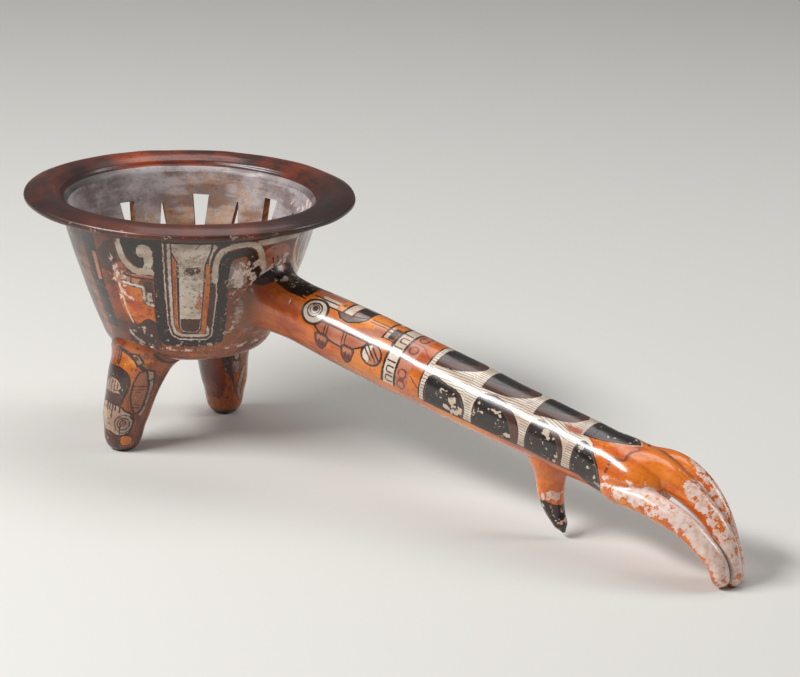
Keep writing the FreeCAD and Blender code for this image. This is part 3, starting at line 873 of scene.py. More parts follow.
# %% Bowl wall
def make_wall():
    outline = joined(outer_wall, through(outer_top, inner_top), inner_wall, through(inner_foot, outer_foot))
    mesh = turn_outline(outline, wall_columns, bowl_clay)
    wedge = slot_cutter("wedge_cutter", wedge_widths, wedge_height)
    triangle = slot_cutter("triangle_cutter", triangle_widths, triangle_height)
    mesh = run_tree(slot_tree(), mesh, Wedge=wedge, Triangle=triangle, Count=slot_count, Middle=slot_middle,
                    Pitch=slot_pitch, Foot=slot_foot * MM, Fall=slot_fall)
    for cutter in (wedge, triangle):
        bpy.data.objects.remove(cutter)
    return mesh


wall_mesh = make_wall()
print("wall", len(wall_mesh.polygons), "faces after the slots")

# %% [markdown]
# The painting on the wall, in millimetres round the wall and up from the ground.
# The front shows a cream panel hung in nested loops, a scroll on its left and an arch
# on its right.

# %% Painting the wall
wall_unit, wall_seam = 65.0, -146


def paint_wall(canvas):
    ink, fill, draw, bar = canvas.ink, canvas.fill, canvas.draw, canvas.bar
    paint, area, stroke = canvas.paint, canvas.area, canvas.stroke
    bar("black", -122, -111, 78, 140)
    bar("pink", -115.5, -112.5, 110, 128)
    bar("brown", -146, -138, 74, 138)
    fill("brown", [(-112, 128), (-104, 137), (-97, 141), (-97, 112), (-104, 117), (-112, 118)])
    draw("cream", [(-99, 112), (-98, 95), (-95.5, 85)], 1.3)
    fill("brown", [(-101, 66), (-78, 66), (-78, 86), (-84, 89), (-92, 84), (-101, 82)], True)
    draw("cream", [(-100, 78), (-97, 74), (-91, 71)], 2.0)

    fill("pink", [(-101, 112), (-88, 112), (-84, 118), (-90, 125), (-99, 124)], True)
    for end in ((-99, 121), (-99.5, 116), (-96, 112), (-91, 111)):
        ink([(-89, 121), end])
    draw("cream", [(-92, 141), (-94.5, 134), (-92, 126), (-86, 121), (-77, 121)], 4.6)
    draw("line", [(-96.5, 136), (-95, 127), (-88, 119.4), (-77, 119.2)], 0.9)
    draw("pink", [(-89, 118), (-77, 118)], 1.4)
    draw("line", [(-97, 119), (-90, 116.8), (-76, 116.4)], 1.2)
    fill("black", [(-75, 143), (-92, 143), (-91.5, 133), (-88.5, 127), (-84.5, 123.8), (-80.5, 124.5),
                   (-79.5, 129), (-75, 129)], True)
    fill("cream", [(-84, 137), (-80, 139.5), (-76.4, 137), (-75.8, 128), (-78.5, 123), (-83.5, 122.5),
                   (-81, 125.5), (-80.8, 130.5), (-84, 131.5)], True)

    bar("brown", -83, -77.5, 99, 115)
    bar("cream", -81.5, -78.5, 101, 107)
    frame_line = [(-96, 112.5), (-88, 111), (-83.5, 110), (-83.6, 102.5), (-81.5, 99.3), (-77.5, 98.8)]
    draw("line", frame_line, 2.9)
    draw("cream", frame_line, 1.5)

    nest = [(-66.5, 144), (-66, 136), (-62.5, 128), (-62.5, 84), (-60, 81.5), (-51, 81.5), (-48.5, 84),
            (-48.5, 128), (-46, 136), (-45.5, 144)]
    panel = area(nest)
    outer = area([(-75, 144), (-76.2, 118), (-78.4, 84), (-78, 76), (-74, 71.6), (-36, 71.4), (-31.5, 74.5),
                  (-31, 82), (-34, 106), (-35, 126), (-35.5, 136), (-41, 144)])
    paint("black", outer)
    inner = area([(-70.5, 144), (-70.6, 118), (-70.4, 86), (-68, 78.6), (-63, 76.2), (-44, 76.2), (-40.2, 79),
                  (-40.2, 106), (-42.3, 122), (-42.4, 134), (-38, 144)])
    paint("cream", inner)
    for depth, colour, width in ((1.6, "brown", 1.6), (4.6, "line", 0.9), (5.9, "ground", 1.9),
                                 (7.4, "line", 0.9)):
        paint(colour, np.abs(inner + depth) - width / 2)
    fill("brown", [(-45, 134), (-45, 88), (-42, 82), (-41, 88), (-41, 106), (-43, 122), (-43, 134)])
    bar("ground", -48.2, -45.4, 82, 128)
    paint("line", np.abs(panel) - 0.45)
    paint("brown", panel + 0.4)
    paint("cream", panel + 0.4, FAR)
    paint("brown", np.maximum(panel + 0.8, canvas.b - 91))
    fill("brown", [(-60, 122), (-57, 120.5), (-54, 121), (-52, 122), (-50, 124), (-52, 127), (-55, 126),
                   (-58, 127)])
    fill("pink", [(-53, 98), (-49.4, 97), (-49.4, 106), (-51, 109), (-52, 104)])

    fill("black", [(-46, 144), (-41, 137), (-36, 140), (-36, 144)])
    arch = stroke([(-36.5, 110), (-38, 124), (-36.5, 131), (-31.5, 134), (-24.5, 133.5), (-20.5, 124),
                   (-15.5, 112), (-12, 104)], 6.0)
    draw("brown", [(-45, 123), (-44, 134), (-40, 140.5), (-33, 143)], 2.2)
    draw("cream", [(-42.6, 117), (-42.8, 128), (-40.5, 135.5), (-34, 139), (-24, 139), (-18.5, 134),
                   (-14, 123), (-8, 111)], 3.4)
    paint("black", np.minimum(arch, area([(-20, 117), (-8, 111), (-6, 107), (-10, 101.5), (-16, 102),
                                          (-20, 108)], True)))
    fill("grey", [(-35, 111), (-22.5, 111), (-25, 122), (-27, 129.5), (-33, 129.5), (-35, 126)])
    fill("cream", [(-31, 111.5), (-26, 112), (-27, 121), (-30, 124)], True)
    ink([(-35.5, 110.6), (-21, 110.6)], 1.0)
    fill("pink", [(-15, 134), (-4, 136), (4, 130), (-2, 120), (-8, 114), (-13, 126)], True)
    for a in (-6, -2.5, 1):
        draw("brown", [(a - 3, 128), (a, 121), (a + 5, 114)], 1.1)
    bar("cream", -21, 8, 137.5, 141.5)
    draw("cream", [(8, 140), (8.2, 133), (11, 124), (20, 114), (36, 107), (60, 104)], 2.2)
    for rise, colour, width in ((-5, "black", 3.0), (-10, "pink", 2.0), (-14, "line", 1.0)):
        draw(colour, [(4, 128 + rise), (14, 118 + rise), (30, 109 + rise), (60, 102 + rise)], width)
    fill("grey", [(12, 138), (60, 138), (60, 108), (36, 111), (22, 118), (14, 127)], True)
    for a in (17, 25, 33, 41, 49):
        draw("cream", [(a, 136), (a - 2, 128), (a + 2, 118)], 1.6)

    for side in range(6):
        left = 66 + side * 24.0
        bar("cream", left, left + 20, 76, 96)
        loop = area([(left + 2, 97), (left + 2, 82), (left + 5, 78), (left + 15, 78), (left + 18, 82),
                     (left + 18, 97)])
        paint("black", loop)
        paint("cream", loop + 3.2)
        paint("brown", loop + 5.0)
    around = canvas.band(60, 214, 98, 101)
    paint("cream", around)
    paint("line", np.abs(around) - 0.5)
    bar("brown", 60, 214, 134, 141)

    bar("line", -220, 220, 141.3, 143.0)
    bar("brown", -220, 220, 65, 67.2)


def turned_flow(azimuth, profile):
    """Strokes that run round the pot."""
    return np.c_[15 * np.cos(azimuth), 15 * np.sin(azimuth), profile]


def dress_wall(mesh):
    points = points_of(mesh)
    radius = np.hypot(points[:, 0], points[:, 1])
    azimuth = np.arctan2(points[:, 1], points[:, 0])
    around = wall_unit * azimuth
    around = np.where(around < wall_seam, around + 2 * math.pi * wall_unit, around)
    height = points[:, 2]
    canvas = Canvas(around, height)
    canvas.flow = turned_flow(azimuth, height)
    paint_wall(canvas)
    middle_skin = np.interp(height, outer_wall[:, 1], outer_wall[:, 0]) - wall_thickness / 2
    inner = radius < middle_skin
    weather_wall(canvas, points)
    canvas.clear(inner)
    for name, values in weather_inside(azimuth, height).items():
        canvas.mask[name][inner] = values[inner]
    canvas.keep(mesh)
    line_with(mesh, inner, lining_clay)


def weather_wall(canvas, points):
    """Where the painted side is worn, dark, rubbed or a warmer orange. The dark is painted shade on the far
    left, low on the left and in a band under the rim, with darker mottling below the neck.
    """
    area, band, shaded = canvas.area, canvas.band, canvas.shaded
    canvas.mask["wear"] = 0.25 * ramp(canvas.b, 140, 75)
    shaded("wear", band(-104, 14, 66, 74), 0.7, 6)
    shaded("wear", area([(-36, 112), (-20, 112), (-24, 132), (-34, 130)]), 0.6, 5)
    shaded("wear", band(-33, -20, 84, 106), 0.6, 8)
    shaded("shade", area([(-150, 150), (-150, 60), (-128, 60), (-118, 150)]), 0.75, 16)
    shaded("shade", area([(-128, 92), (-104, 88), (-90, 80), (-82, 66), (-128, 60)]), 0.38, 12)
    shaded("shade", area([(-230, 147), (-230, 138), (230, 138), (230, 147)]), 0.45, 8)
    shaded("pale", area([(-104, 132), (-92, 130), (-90, 100), (-104, 96)]), 0.34, 8)
    shaded("pale", area([(-101, 88), (-80, 88), (-78, 66), (-101, 66)]), 0.34, 6)
    shaded("shade", area([(-31, 108), (-4, 104), (20, 98), (20, 74), (-31, 76)]), 0.46, 12)
    shaded("pale", area([(-36, 130), (6, 128), (8, 82), (-34, 78)]), 0.46, 8)
    shaded("pale", band(-96, 12, 64, 71), 0.48, 5)
    shaded("warm", area([(-101, 114), (-84, 112), (-78, 98), (-79, 86), (-92, 84), (-100, 92)]), 1.0, 5)
    shaded("warm", band(-70, -40, 76, 132), 1.0, 3)
    shaded("wear", area([(-64, 134), (-47, 134), (-47, 115), (-64, 117)]), 0.95, 5)
    shaded("wear", area([(-56, 114), (-48, 114), (-48, 92), (-58, 92)]), 0.66, 5)
    shaded("warm", area([(-31, 104), (-10, 100), (0, 84), (-6, 70), (-31, 74)]), 0.14, 14)
    shaded("shade", area([(-34, 84), (-4, 80), (14, 90), (30, 76), (-6, 66), (-34, 68)]), 0.34, 12)
    shaded("warm", band(-138, -124, 70, 132), 0.5, 6)
    shaded("warm", band(-104, 230, 62, 73), 0.26, 6)
    high = points[:, 2] - (handle_axis_height - handle_slope * points[:, 0])
    from_handle = np.where(points[:, 0] > 0, np.hypot(points[:, 1], high), 99)
    canvas.mask["warm"] = np.maximum(canvas.mask["warm"], 0.5 * ramp(from_handle, 31, 25.5))


crust_azimuth, crust_spread = 42, 34
tan_height, tan_reach = 116, 16
soot_and_shade_top, soot_and_shade_full, back_top = 118, 102.7, 132
sheen_azimuth = math.radians(118)


def weather_inside(azimuth, height):
    """The bowl's inside: crusted on the right, tan about the slots and behind them, dark below with
    soot and painted shade together, and a little darker on the right.
    """
    right = ramp(np.abs(np.degrees(azimuth) - crust_azimuth), crust_spread, 0)
    back = np.clip(np.cos(azimuth - sheen_azimuth), 0, 1) ** 6 * ramp(height, soot_and_shade_top, back_top)
    return {"wear": 0.4 * right,
            "pale": 0.62 * right,
            "warm": 0.62 * ramp(np.abs(height - tan_height), tan_reach, 0) + 0.48 * back,
            "shade": 0.85 * ramp(height, soot_and_shade_top, soot_and_shade_full) + 0.25 * right}


dress_wall(wall_mesh)
place_piece("bowl_wall_painted", wall_mesh, ["bowl_wall"])


# %% [markdown]
# The floor of the bowl closes the wall below, and the rim spreads from its top. Both
# come from the same tree as the wall.

# %% Bowl floor
def plain_canvas(points):
    """A canvas for a turned piece without a painting."""
    radius = np.hypot(points[:, 0], points[:, 1])
    canvas = Canvas(radius, points[:, 2])
    canvas.flow = turned_flow(np.arctan2(points[:, 1], points[:, 0]), radius + points[:, 2])
    return canvas


def make_bowl_floor():
    inside = joined(through(outer_foot, inner_foot),
                    arc_through(inner_foot, inner_corner, inner_flat_edge, coarse),
                    through(inner_flat_edge, (0, floor_top)))
    mesh = turn_outline(joined(under_bowl, inside), floor_columns, bowl_clay)
    points = points_of(mesh)
    canvas = plain_canvas(points)
    height = np.interp(canvas.a, under_bowl[:, 0], under_bowl[:, 1])
    inside_bowl = points[:, 2] > height + floor_thickness / 2
    # Dark inside, soot and painted shade together, and painted shade on the underside.
    canvas.mask["shade"] = np.where(inside_bowl, 0.85, 0.25)
    canvas.mask["warm"] = np.where(inside_bowl, 0.0, 0.26)
    canvas.keep(mesh)
    line_with(mesh, inside_bowl, lining_clay)
    place_piece("bowl_floor_clay", mesh, ["bowl_floor"])


make_bowl_floor()


# %% Rim
rim_root_out, rim_root_drop = 2.6, 1.4
crest_share, mouth_round, mouth_drop = 0.62, 2.4, 0.4


def make_rim():
    half = lip_thickness / 2
    root = (outer_top[0] + rim_root_out, lip_height - half - rim_root_drop)
    lip_low, lip_edge, lip_top = ((rim_radius - half, lip_height - half), (rim_radius, lip_height),
                                  (rim_radius - half, lip_height + half))
    crest = (mouth_radius + crest_share * (rim_radius - mouth_radius), lip_height + half + rim_crown)
    mouth_top = (mouth_radius + mouth_round, lip_height + half)
    mouth_edge = (mouth_radius, lip_height - mouth_drop)
    throat = ((mouth_edge[0] + inner_top[0]) / 2 - 0.5, (mouth_edge[1] + inner_top[1]) / 2)
    outline = joined(
        through(inner_top, outer_top),
        arc_through(outer_top, (outer_top[0] + 0.9, (outer_top[1] + root[1]) / 2 + 0.7), root, 0.6),
        straight(root, lip_low, medium), arc_through(lip_low, lip_edge, lip_top, 0.7),
        arc_through(lip_top, crest, mouth_top, medium),
        arc_through(mouth_top, (mouth_radius + 0.5, lip_height + 0.8), mouth_edge, 0.6),
        arc_through(mouth_edge, throat, inner_top, 0.8))
    mesh = turn_outline(outline, rim_columns, rim_clay)
    points = points_of(mesh)
    radius = np.hypot(points[:, 0], points[:, 1])
    azimuth = np.arctan2(points[:, 1], points[:, 0])
    canvas = plain_canvas(points)
    lip = ramp(np.abs(radius - rim_radius), 2.0, 0)
    canvas.mask["wear"] = 0.35 * lip
    # Painted shade: the rim darkens at its sides and at its front, away from the back, where the light falls
    # brightest. Its lip is paler at the front, a worn edge and a painted highlight together.
    facing_front = np.clip(np.cos(azimuth + math.radians(60)), 0, 1)
    canvas.mask["pale"] = 0.22 * lip * (0.4 + facing_front)
    canvas.mask["shade"] = 0.66 * np.sin(azimuth - sheen_azimuth) ** 2 + 0.52 * facing_front
    canvas.keep(mesh)
    line_with(mesh, (radius < mouth_radius + 1.2) & (points[:, 2] < lip_height - 1.0), lining_clay)
    place_piece("rim_flange_burnished", mesh, ["rim_flange"])


make_rim()

# %% [markdown]
# The handle is a hollow tube that swells a little in its middle. It is turned
# upright and then laid down along its slope. The neck flares where it meets the
# bowl, and what would reach into the bowl is pressed flat within the wall.

# %% Laying the handle down
lean = math.atan(handle_slope)
handle_ahead = np.array([math.cos(lean), 0, -math.sin(lean)])
handle_up = np.array([math.sin(lean), 0, math.cos(lean)])
handle_side = np.array([0, 1, 0])
handle_root = np.array([0, 0, handle_axis_height])


def lay_down(points):
    """Turn points about Z into points about the handle's axis, from the bowl outwards."""
    return (handle_root + points[:, 2:3] * handle_ahead + points[:, 0:1] * handle_up
            - points[:, 1:2] * handle_side)


def handle_coordinates(points):
    """For points near the handle: how far along the ground, radius, and turn from its top."""
    rel = points - handle_root
    reach = rel @ handle_ahead
    high, across = rel @ handle_up, rel[:, 1]
    return reach * math.cos(lean), np.hypot(high, across), np.arctan2(-across, high)


handle_shape = curved([(60, 17.6), (88, 17.5), (120, 18.7), (155, 19.1), (198, 18.9), (240, 18.2),
                       (302, 17.5), (330, 17.3)], steps=8)


def handle_radius(x):
    return np.interp(x, handle_shape[:, 0], handle_shape[:, 1])


# %% Painting the handle
def feather(canvas, edge, close_at, shift, chips=()):
    """One painted feather: a dark line, a brown margin and a black heart, flaked to the cream.

    The edge runs from the root to the tip's far side, and the outline closes at one
    height. The heart is the same shape moved back by the shift.
    """
    edge = curved(edge)
    root = edge[0][0]
    outline = np.vstack([edge, [(edge[-1][0], close_at), (root, close_at)]])
    shape = canvas.area(outline)
    heart = np.maximum(canvas.area(outline + shift), np.maximum(shape + 0.5, root - canvas.a))
    canvas.paint("brown", np.maximum(shape, -heart))
    canvas.paint("line", np.abs(shape) - 0.4)
    canvas.paint("black", heart, FAR)
    for a, b, size in chips:
        canvas.shaded("wear", np.maximum(canvas.disc(a, b, size * 1.9, size * 1.3), shape + 0.6), 0.9, 2.2)


def paint_head(canvas):
    """The profile and ornaments between the neck and the banded collar."""
    ink, fill, draw, bar = canvas.ink, canvas.fill, canvas.draw, canvas.bar
    paint, area, stroke, disc = canvas.paint, canvas.area, canvas.stroke, canvas.disc
    fill("brown", [(56, 2), (70, 2), (72, 9), (70, 14), (65, 18), (56, 18)], True)
    fill("black", [(56, 3), (62, 5), (67, 3), (70, 9), (67, 13), (62, 15), (56, 15)], True, tuck=FAR)
    bar("brown", 70, 96, 0, 10)
    fill("black", [(70, 0), (96, 0), (97, 6), (92, 10.5), (97, 11.8), (84, 12.4), (71, 10.5)])
    fill("cream", [(73, 3), (75.4, 2.6), (77.6, 5.6), (76.4, 7), (73.4, 5.6)])
    canvas.shaded("wear", area([(60, -1), (96, -1), (96, 11), (60, 14)]), 0.38, 5)
    bar("pink", 98, 117, 0, 3)
    bar("cream", 104, 117, 3, 5.2)
    ink([(99, 6), (117, 6)], 1.0)
    bar("cream", 102, 116.5, 6.6, 9.2)
    ink([(108, 9.7), (125, 9.7)], 1.1)
    bar("ground", 117.4, 121.4, -1, 8.6)
    paint("line", disc(119.4, 4, 0.9))
    bar("black", 121.4, 123, -1, 9)
    bar("cream", 123, 128, -1, 9)
    crest = area([(119, 9.6), (129, 9.4), (129, -1), (138.6, -1), (138.4, 7), (135, 11.4), (129, 14),
                  (123, 13.4)])
    canvas.outlined("grey", crest, 1.1)
    bar("black", 129.5, 138, -1, 3.6)
    draw("black", [(129, 9), (137.5, 6)], 1.0, False)
    fill("pink", [(141, 12), (153, 9), (153, 15), (141, 19.4), (113, 19.4), (113, 15.5), (134, 15.5)])
    jaw = area([(108, 20), (148, 19.5), (146, 23), (140, 26.7), (132, 28.9), (125, 28.6), (115, 26.6),
                (110, 24)])
    canvas.outlined("pink", jaw, 1.1)
    for a in (117, 119, 130.5, 132.5):
        ink([(a, 20.5), (a + 0.6, 26.5)])
    for a0, a1, b1 in ((112, 122, 36), (131.5, 141, 37)):
        pendant = area([(a0, 28), (a0 + 2, 26.6), (a1 - 2, 26.6), (a1, 28), (a1 - 1.4, b1 - 3), (a1 - 4, b1),
                        (a0 + 4, b1), (a0 + 1.2, b1 - 3)])
        canvas.outlined("rust", pendant, 1.0)
        paint("pink", np.maximum(pendant + 1.2, canvas.b - 31))
        for a in (a0 + 4, a0 + 6.6):
            ink([(a, 30), (a - 0.3, b1 - 2.5)], 0.9)
    eye = disc(106, 16, 8.2)
    canvas.outlined("cream", eye, 1.6)
    paint("line", np.abs(disc(105.4, 15.4, 4.6)) - 0.5)
    paint("line", np.abs(disc(105.4, 15.2, 3.0)) - 0.4)
    paint("brown", disc(105.4, 14.8, 1.9))
    bead = disc(153, 25, 7, 6)
    canvas.outlined("pink", bead, 1.2)
    paint("cream", np.maximum(bead + 1.0, canvas.a - 152))
    for shift in (-3.5, 0, 3.5):
        slant = stroke([(149 + shift, 21), (157 + shift, 28)], 0.9, False)
        paint("line", np.maximum(slant, bead))
    for b in (4.7, 6.8):
        ink([(141, b), (153, b)])
    bar("pink", 146, 153, 8, 14)


def paint_collar(canvas):
    """The banded collar between the head and the feathers."""
    ink, paint, draw, bar, disc = canvas.ink, canvas.paint, canvas.draw, canvas.bar, canvas.disc
    bar("line", 153.4, 154.8, -1, 14)
    bar("cream", 155, 157.2, 3, 12.5)
    bar("brown", 157.4, 161.6, 3, 12.5)
    for b in (5.5, 8.2, 13.0):
        ink([(155, b), (161.6, b)])
    bar("black", 162, 163.7, -1, 37.4)
    bar("cream", 163.7, 170.8, -1, 37.4)
    for b in (-1, 4, 14.5, 23):
        ink([(164, b), (170, b)], 0.9)
    for b in (7.5, 26.0, 31.6):
        draw("line", [(170, b), (166, b), (165.4, b + 1.7), (166, b + 3.4), (170, b + 3.4)], 0.9)
    bar("black", 170.8, 172.2, -1, 37.4)
    bar("pink", 172.2, 181, -1, 37.4)
    for b in (2, 12, 27, 34):
        paint("rust", np.abs(disc(176.4, b, 2.6)) - 0.5)
    for b in (7, 19, 30.5):
        draw("rust", [(172.5, b), (180.5, b)], 0.8, False)
    bar("ground", 181, 188.6, -1, 37.4)
    for b in (8, 26):
        draw("rust", [(182, b), (188, b + 5)], 0.9, False)
    bar("line", 188.6, 189.6, -1, 37.4)
    bar("cream", 189.6, 193.4, -1, 37.4)


near_feathers = (
    ([(193.5, 46), (193.5, 21.6), (205, 21.3), (215, 23), (220, 28), (221, 33), (220, 38)], (-1.2, 0.6),
     [(212, 29, 1.9), (216.5, 33, 2.4), (209, 34.5, 1.5), (214, 36, 1.6), (205, 24.5, 0.7), (199, 33, 0.6)]),
    ([(227, 46), (226.5, 24), (230, 16.5), (240, 15.3), (250, 19), (256, 24), (258.5, 30), (258, 38)],
     (-5.0, 2.4), [(241, 23.5, 1.4), (245, 25, 1.1), (251, 34, 1.7), (247, 36, 0.9), (254, 27, 0.8)]),
    ([(264, 46), (263.5, 24), (267, 16.6), (275, 16.8), (283, 20), (287, 24.5), (288.5, 30), (288, 38)],
     (-2.6, 1.6), [(275, 21, 1.8), (278.5, 24.5, 1.5), (281, 22.5, 0.8), (285, 32, 1.2), (282, 36, 1.3)]),
    ([(295, 46), (294.6, 24), (297, 16.6), (302, 17), (308, 21.5), (313, 27), (316, 33), (316.5, 38)],
     (-1.0, 0.8), [(298.5, 21, 1.0), (300.5, 23, 0.8), (311.5, 33.5, 1.3), (314, 36, 1.0)]),
)
top_feathers = (
    ([(193, 13.4), (205, 11.6), (213, 8), (218, 4), (219.5, 0)], (-2.5, -4.6), [(212, 6.4, 0.6)]),
    ([(226, 13.6), (240, 12.4), (249, 9.4), (255, 5), (257, 0)], (-3.0, -5.2),
     [(249, 7, 0.9), (243, 10, 0.5)]),
    ([(262.5, 14.6), (270, 12.8), (280, 10.6), (287, 7), (290, 0)], (-3.0, -4.6),
     [(267, 12, 1.0), (271, 10.6, 0.6)]),
    ([(295.5, 12.6), (305, 11), (315, 8.2), (322, 5), (326, 0)], (-0.8, -1.0),
     [(309, 6.4, 0.8), (312, 5, 0.6), (321, 3.4, 0.8), (314.5, 6.4, 0.4)]),
)


def paint_feathers(canvas):
    """Two staggered rows of tongue-shaped feathers on a hatched cream ground."""
    fill, bar, band = canvas.fill, canvas.bar, canvas.band
    a, b = canvas.a, canvas.b
    fill("cream", [(193.4, -1), (193.4, 37.4), (318, 37.4), (316, 33), (303, 15), (296, 11), (316, 9),
                   (324, 5), (328, -1)])
    canvas.hatched(canvas.area([(195, 13), (226, 6), (263, 7), (263, 24), (240, 15), (224, 24), (195, 21)]),
                   (b + 0.10 * (a - 195)) / 1.6)
    canvas.hatched(canvas.area([(264, 14), (294, 8), (296, 16), (287, 21), (272, 17)]),
                   (b - 0.28 * (a - 264)) / 1.8)
    for a0 in (219.5, 257.5, 289.5):
        canvas.hatched(band(a0, a0 + 5.4, -1, 37.2), b / 1.5)
    canvas.hatched(band(190, 193.0, -1, 37.2), b / 1.9)
    for edge, shift, chips in near_feathers:
        feather(canvas, edge, 46, shift, chips)
    for edge, shift, chips in top_feathers:
        feather(canvas, edge, -9, shift, chips)
    fill("pink", [(281, 11.5), (294, 10), (294, 13.5), (287, 14.5)])
    bar("line", 193.4, 300, 37.2, 38.2)
    below = b - 37.9 - 6 * ramp(a, 300, 310)
    for values in [*canvas.slip.values(), canvas.hatch]:
        np.maximum(values, below, out=values, where=below > 0)


def paint_handle(canvas):
    paint_head(canvas)
    paint_collar(canvas)
    paint_feathers(canvas)


def dress_handle(mesh):
    x, radius, turn = handle_coordinates(points_of(mesh))
    canvas = Canvas(x, np.abs(turn) * around_radius)
    paint_handle(canvas)
    weather_handle(canvas)
    canvas.clear(radius < skin_start)
    canvas.flow = handle_flow(x, turn)
    canvas.keep(mesh)


def handle_flow(x, turn):
    """Strokes that run along the handle."""
    return np.c_[x / 5, turn * around_radius, np.zeros(len(x))]


def weather_handle(canvas):
    """The handle's wear, rubbed along its near side, with painted shade underneath, and darker at its root
    where it meets the bowl.
    """
    rubbed = 0.26 * np.exp(-((canvas.b - 26) / 9) ** 2) * np.clip((canvas.a - 190) / 15, 0.2, 1)
    canvas.mask["wear"] = np.maximum(canvas.mask["wear"], rubbed)
    canvas.shaded("shade", canvas.area([(50, 64), (92, 64), (80, 30), (50, 26)]), 0.30, 14)
    canvas.shaded("shade", canvas.area([(50, -4), (90, -4), (72, 22), (50, 22)]), 0.30, 10)
    canvas.shaded("shade", canvas.band(55, 330, 47, 64), 0.30, 14)
    canvas.shaded("shade", canvas.band(44, 72, 12, 64), 0.62, 16)
    canvas.shaded("pale", canvas.band(44, 66, 16, 64), 0.42, 8)


# %% Handle tube
vent_x, vent_radius, drill_length = 104.0, 2.2, 30
handle_row = 0.62
end_dip, dip_length = 0.12, 3.0
seat_depth, seat_length = 2.6, 8.0


def along(x):
    return x / math.cos(lean)


def make_handle():
    xs = np.arange(neck_end, handle_end + 0.01, handle_row)
    dip = end_dip * ramp(xs, handle_end - dip_length, handle_end) ** 2
    outer = np.c_[handle_radius(xs) - dip, along(xs)]
    start, end = outer[0], outer[-1]
    seat, inner_start = start[0] - seat_depth, start[1] - seat_length
    outline = joined(outer, through(end, (handle_bore, end[1])),
                     through((handle_bore, end[1]), (handle_bore, inner_start), spacing=6.0),
                     through((handle_bore, inner_start), (seat, inner_start), (seat, start[1]), start))
    mesh = turn_outline(outline, handle_columns, orange_clay)
    set_points(mesh, lay_down(points_of(mesh)))
    return mesh


def drill_vent(mesh):
    """The air hole under the handle, cut with a small round bar."""
    depth = handle_axis_height - handle_slope * vent_x
    low = depth - drill_length
    outline = through((0, low), (vent_radius, low), (vent_radius, depth), (0, depth), spacing=drill_length)
    drill = turn_outline(outline, 24, cut_clay)
    set_points(drill, points_of(drill) + [vent_x, 0, 0])
    return cut_away(mesh, drill)


def cut_away(mesh, cutter):
    """The mesh less the cutter, whose material stays on the cut."""
    body, helper = (linked(name, data) for name, data in (("body", mesh), ("cutter", cutter)))
    cut = body.modifiers.new("cut", "BOOLEAN")
    cut.operation, cut.solver, cut.material_mode = "DIFFERENCE", "EXACT", "TRANSFER"
    cut.object = helper
    made = finished_mesh(body)
    bpy.data.objects.remove(helper)
    return made


def make_handle_piece():
    mesh = drill_vent(make_handle())
    dress_handle(mesh)
    place_piece("handle_tube_painted", mesh, ["handle_tube"])


make_handle_piece()


# %% Neck
neck_start = 52
bed_reach = 2.5
neck_flare = curved([(30, 51.0), (21.6, 61.4), (18.5, 74.0), (17.5, 88.0), (17.5, 96.0)], steps=10)


def press_into_wall(points, depth=1.6):
    """Bring what lies deeper in the bowl than this out to that depth."""
    distance = outside_bowl(points)
    out = points.copy()
    radius = np.hypot(points[:, 0], points[:, 1])
    deep = distance < -depth
    push = (-depth - distance)[deep]
    for axis in (0, 1):
        out[deep, axis] += push * points[deep, axis] / np.maximum(radius[deep], TINY)
    return out


def straight_out(host, points, step=0.2):
    """The direction straight out of a surface, from its distance alone."""
    slopes = [host(points + offset) - host(points - offset) for offset in np.eye(3) * step]
    out = np.stack(slopes, axis=1)
    return out / np.maximum(np.linalg.norm(out, axis=1, keepdims=True), TINY)


def flare_to(points, host, centre, reach, spread, bed):
    """Spread a limb along the surface that it grows from, and bed its edge into it."""
    distance = host(points)
    close = distance < reach
    out = straight_out(host, points[close])
    away = points[close] - centre[close]
    away -= out * np.sum(away * out, axis=1, keepdims=True)
    away /= np.maximum(np.linalg.norm(away, axis=1, keepdims=True), TINY)
    share = ramp(distance[close], reach, 0) ** 2
    sunk = bed * ramp(distance[close], bed_reach, 0)
    moved = points.copy()
    moved[close] += away * (share * spread)[:, None] - out * sunk[:, None]
    return moved


def make_neck():
    flare = neck_flare[neck_flare[:, 1] <= neck_end + 0.01]
    xs = np.append(np.arange(neck_start, neck_end, handle_row), neck_end)
    side = np.c_[np.interp(xs, flare[:, 1], flare[:, 0]), along(xs)]
    seat = side[-1][0] - seat_depth
    mesh = turn_outline(joined(side, through(side[-1], (seat, side[-1][1]), (seat, side[0][1]), side[0])),
                        handle_columns, orange_clay)
    points = press_into_wall(lay_down(points_of(mesh)))
    reach, radius, _ = handle_coordinates(points)
    centre = handle_root + np.outer(along(reach), handle_ahead)
    flared = flare_to(points, outside_bowl, centre, reach=8.0, spread=3.6, bed=0.0)
    outer = radius > seat + 1.0
    set_points(mesh, np.where(outer[:, None], flared, points))
    dress_handle(mesh)
    place_piece("neck_collar_painted", mesh, ["neck_collar"])


make_neck()

# %% [markdown]
# The legs, the claw and the rear talon were pressed and smeared on by hand, so their
# joins are soft. Each starts as a copy of its plain solid. A voxel remesh turns the
# copies into one skin of even small faces, and smoothing softens what the fingers
# softened.

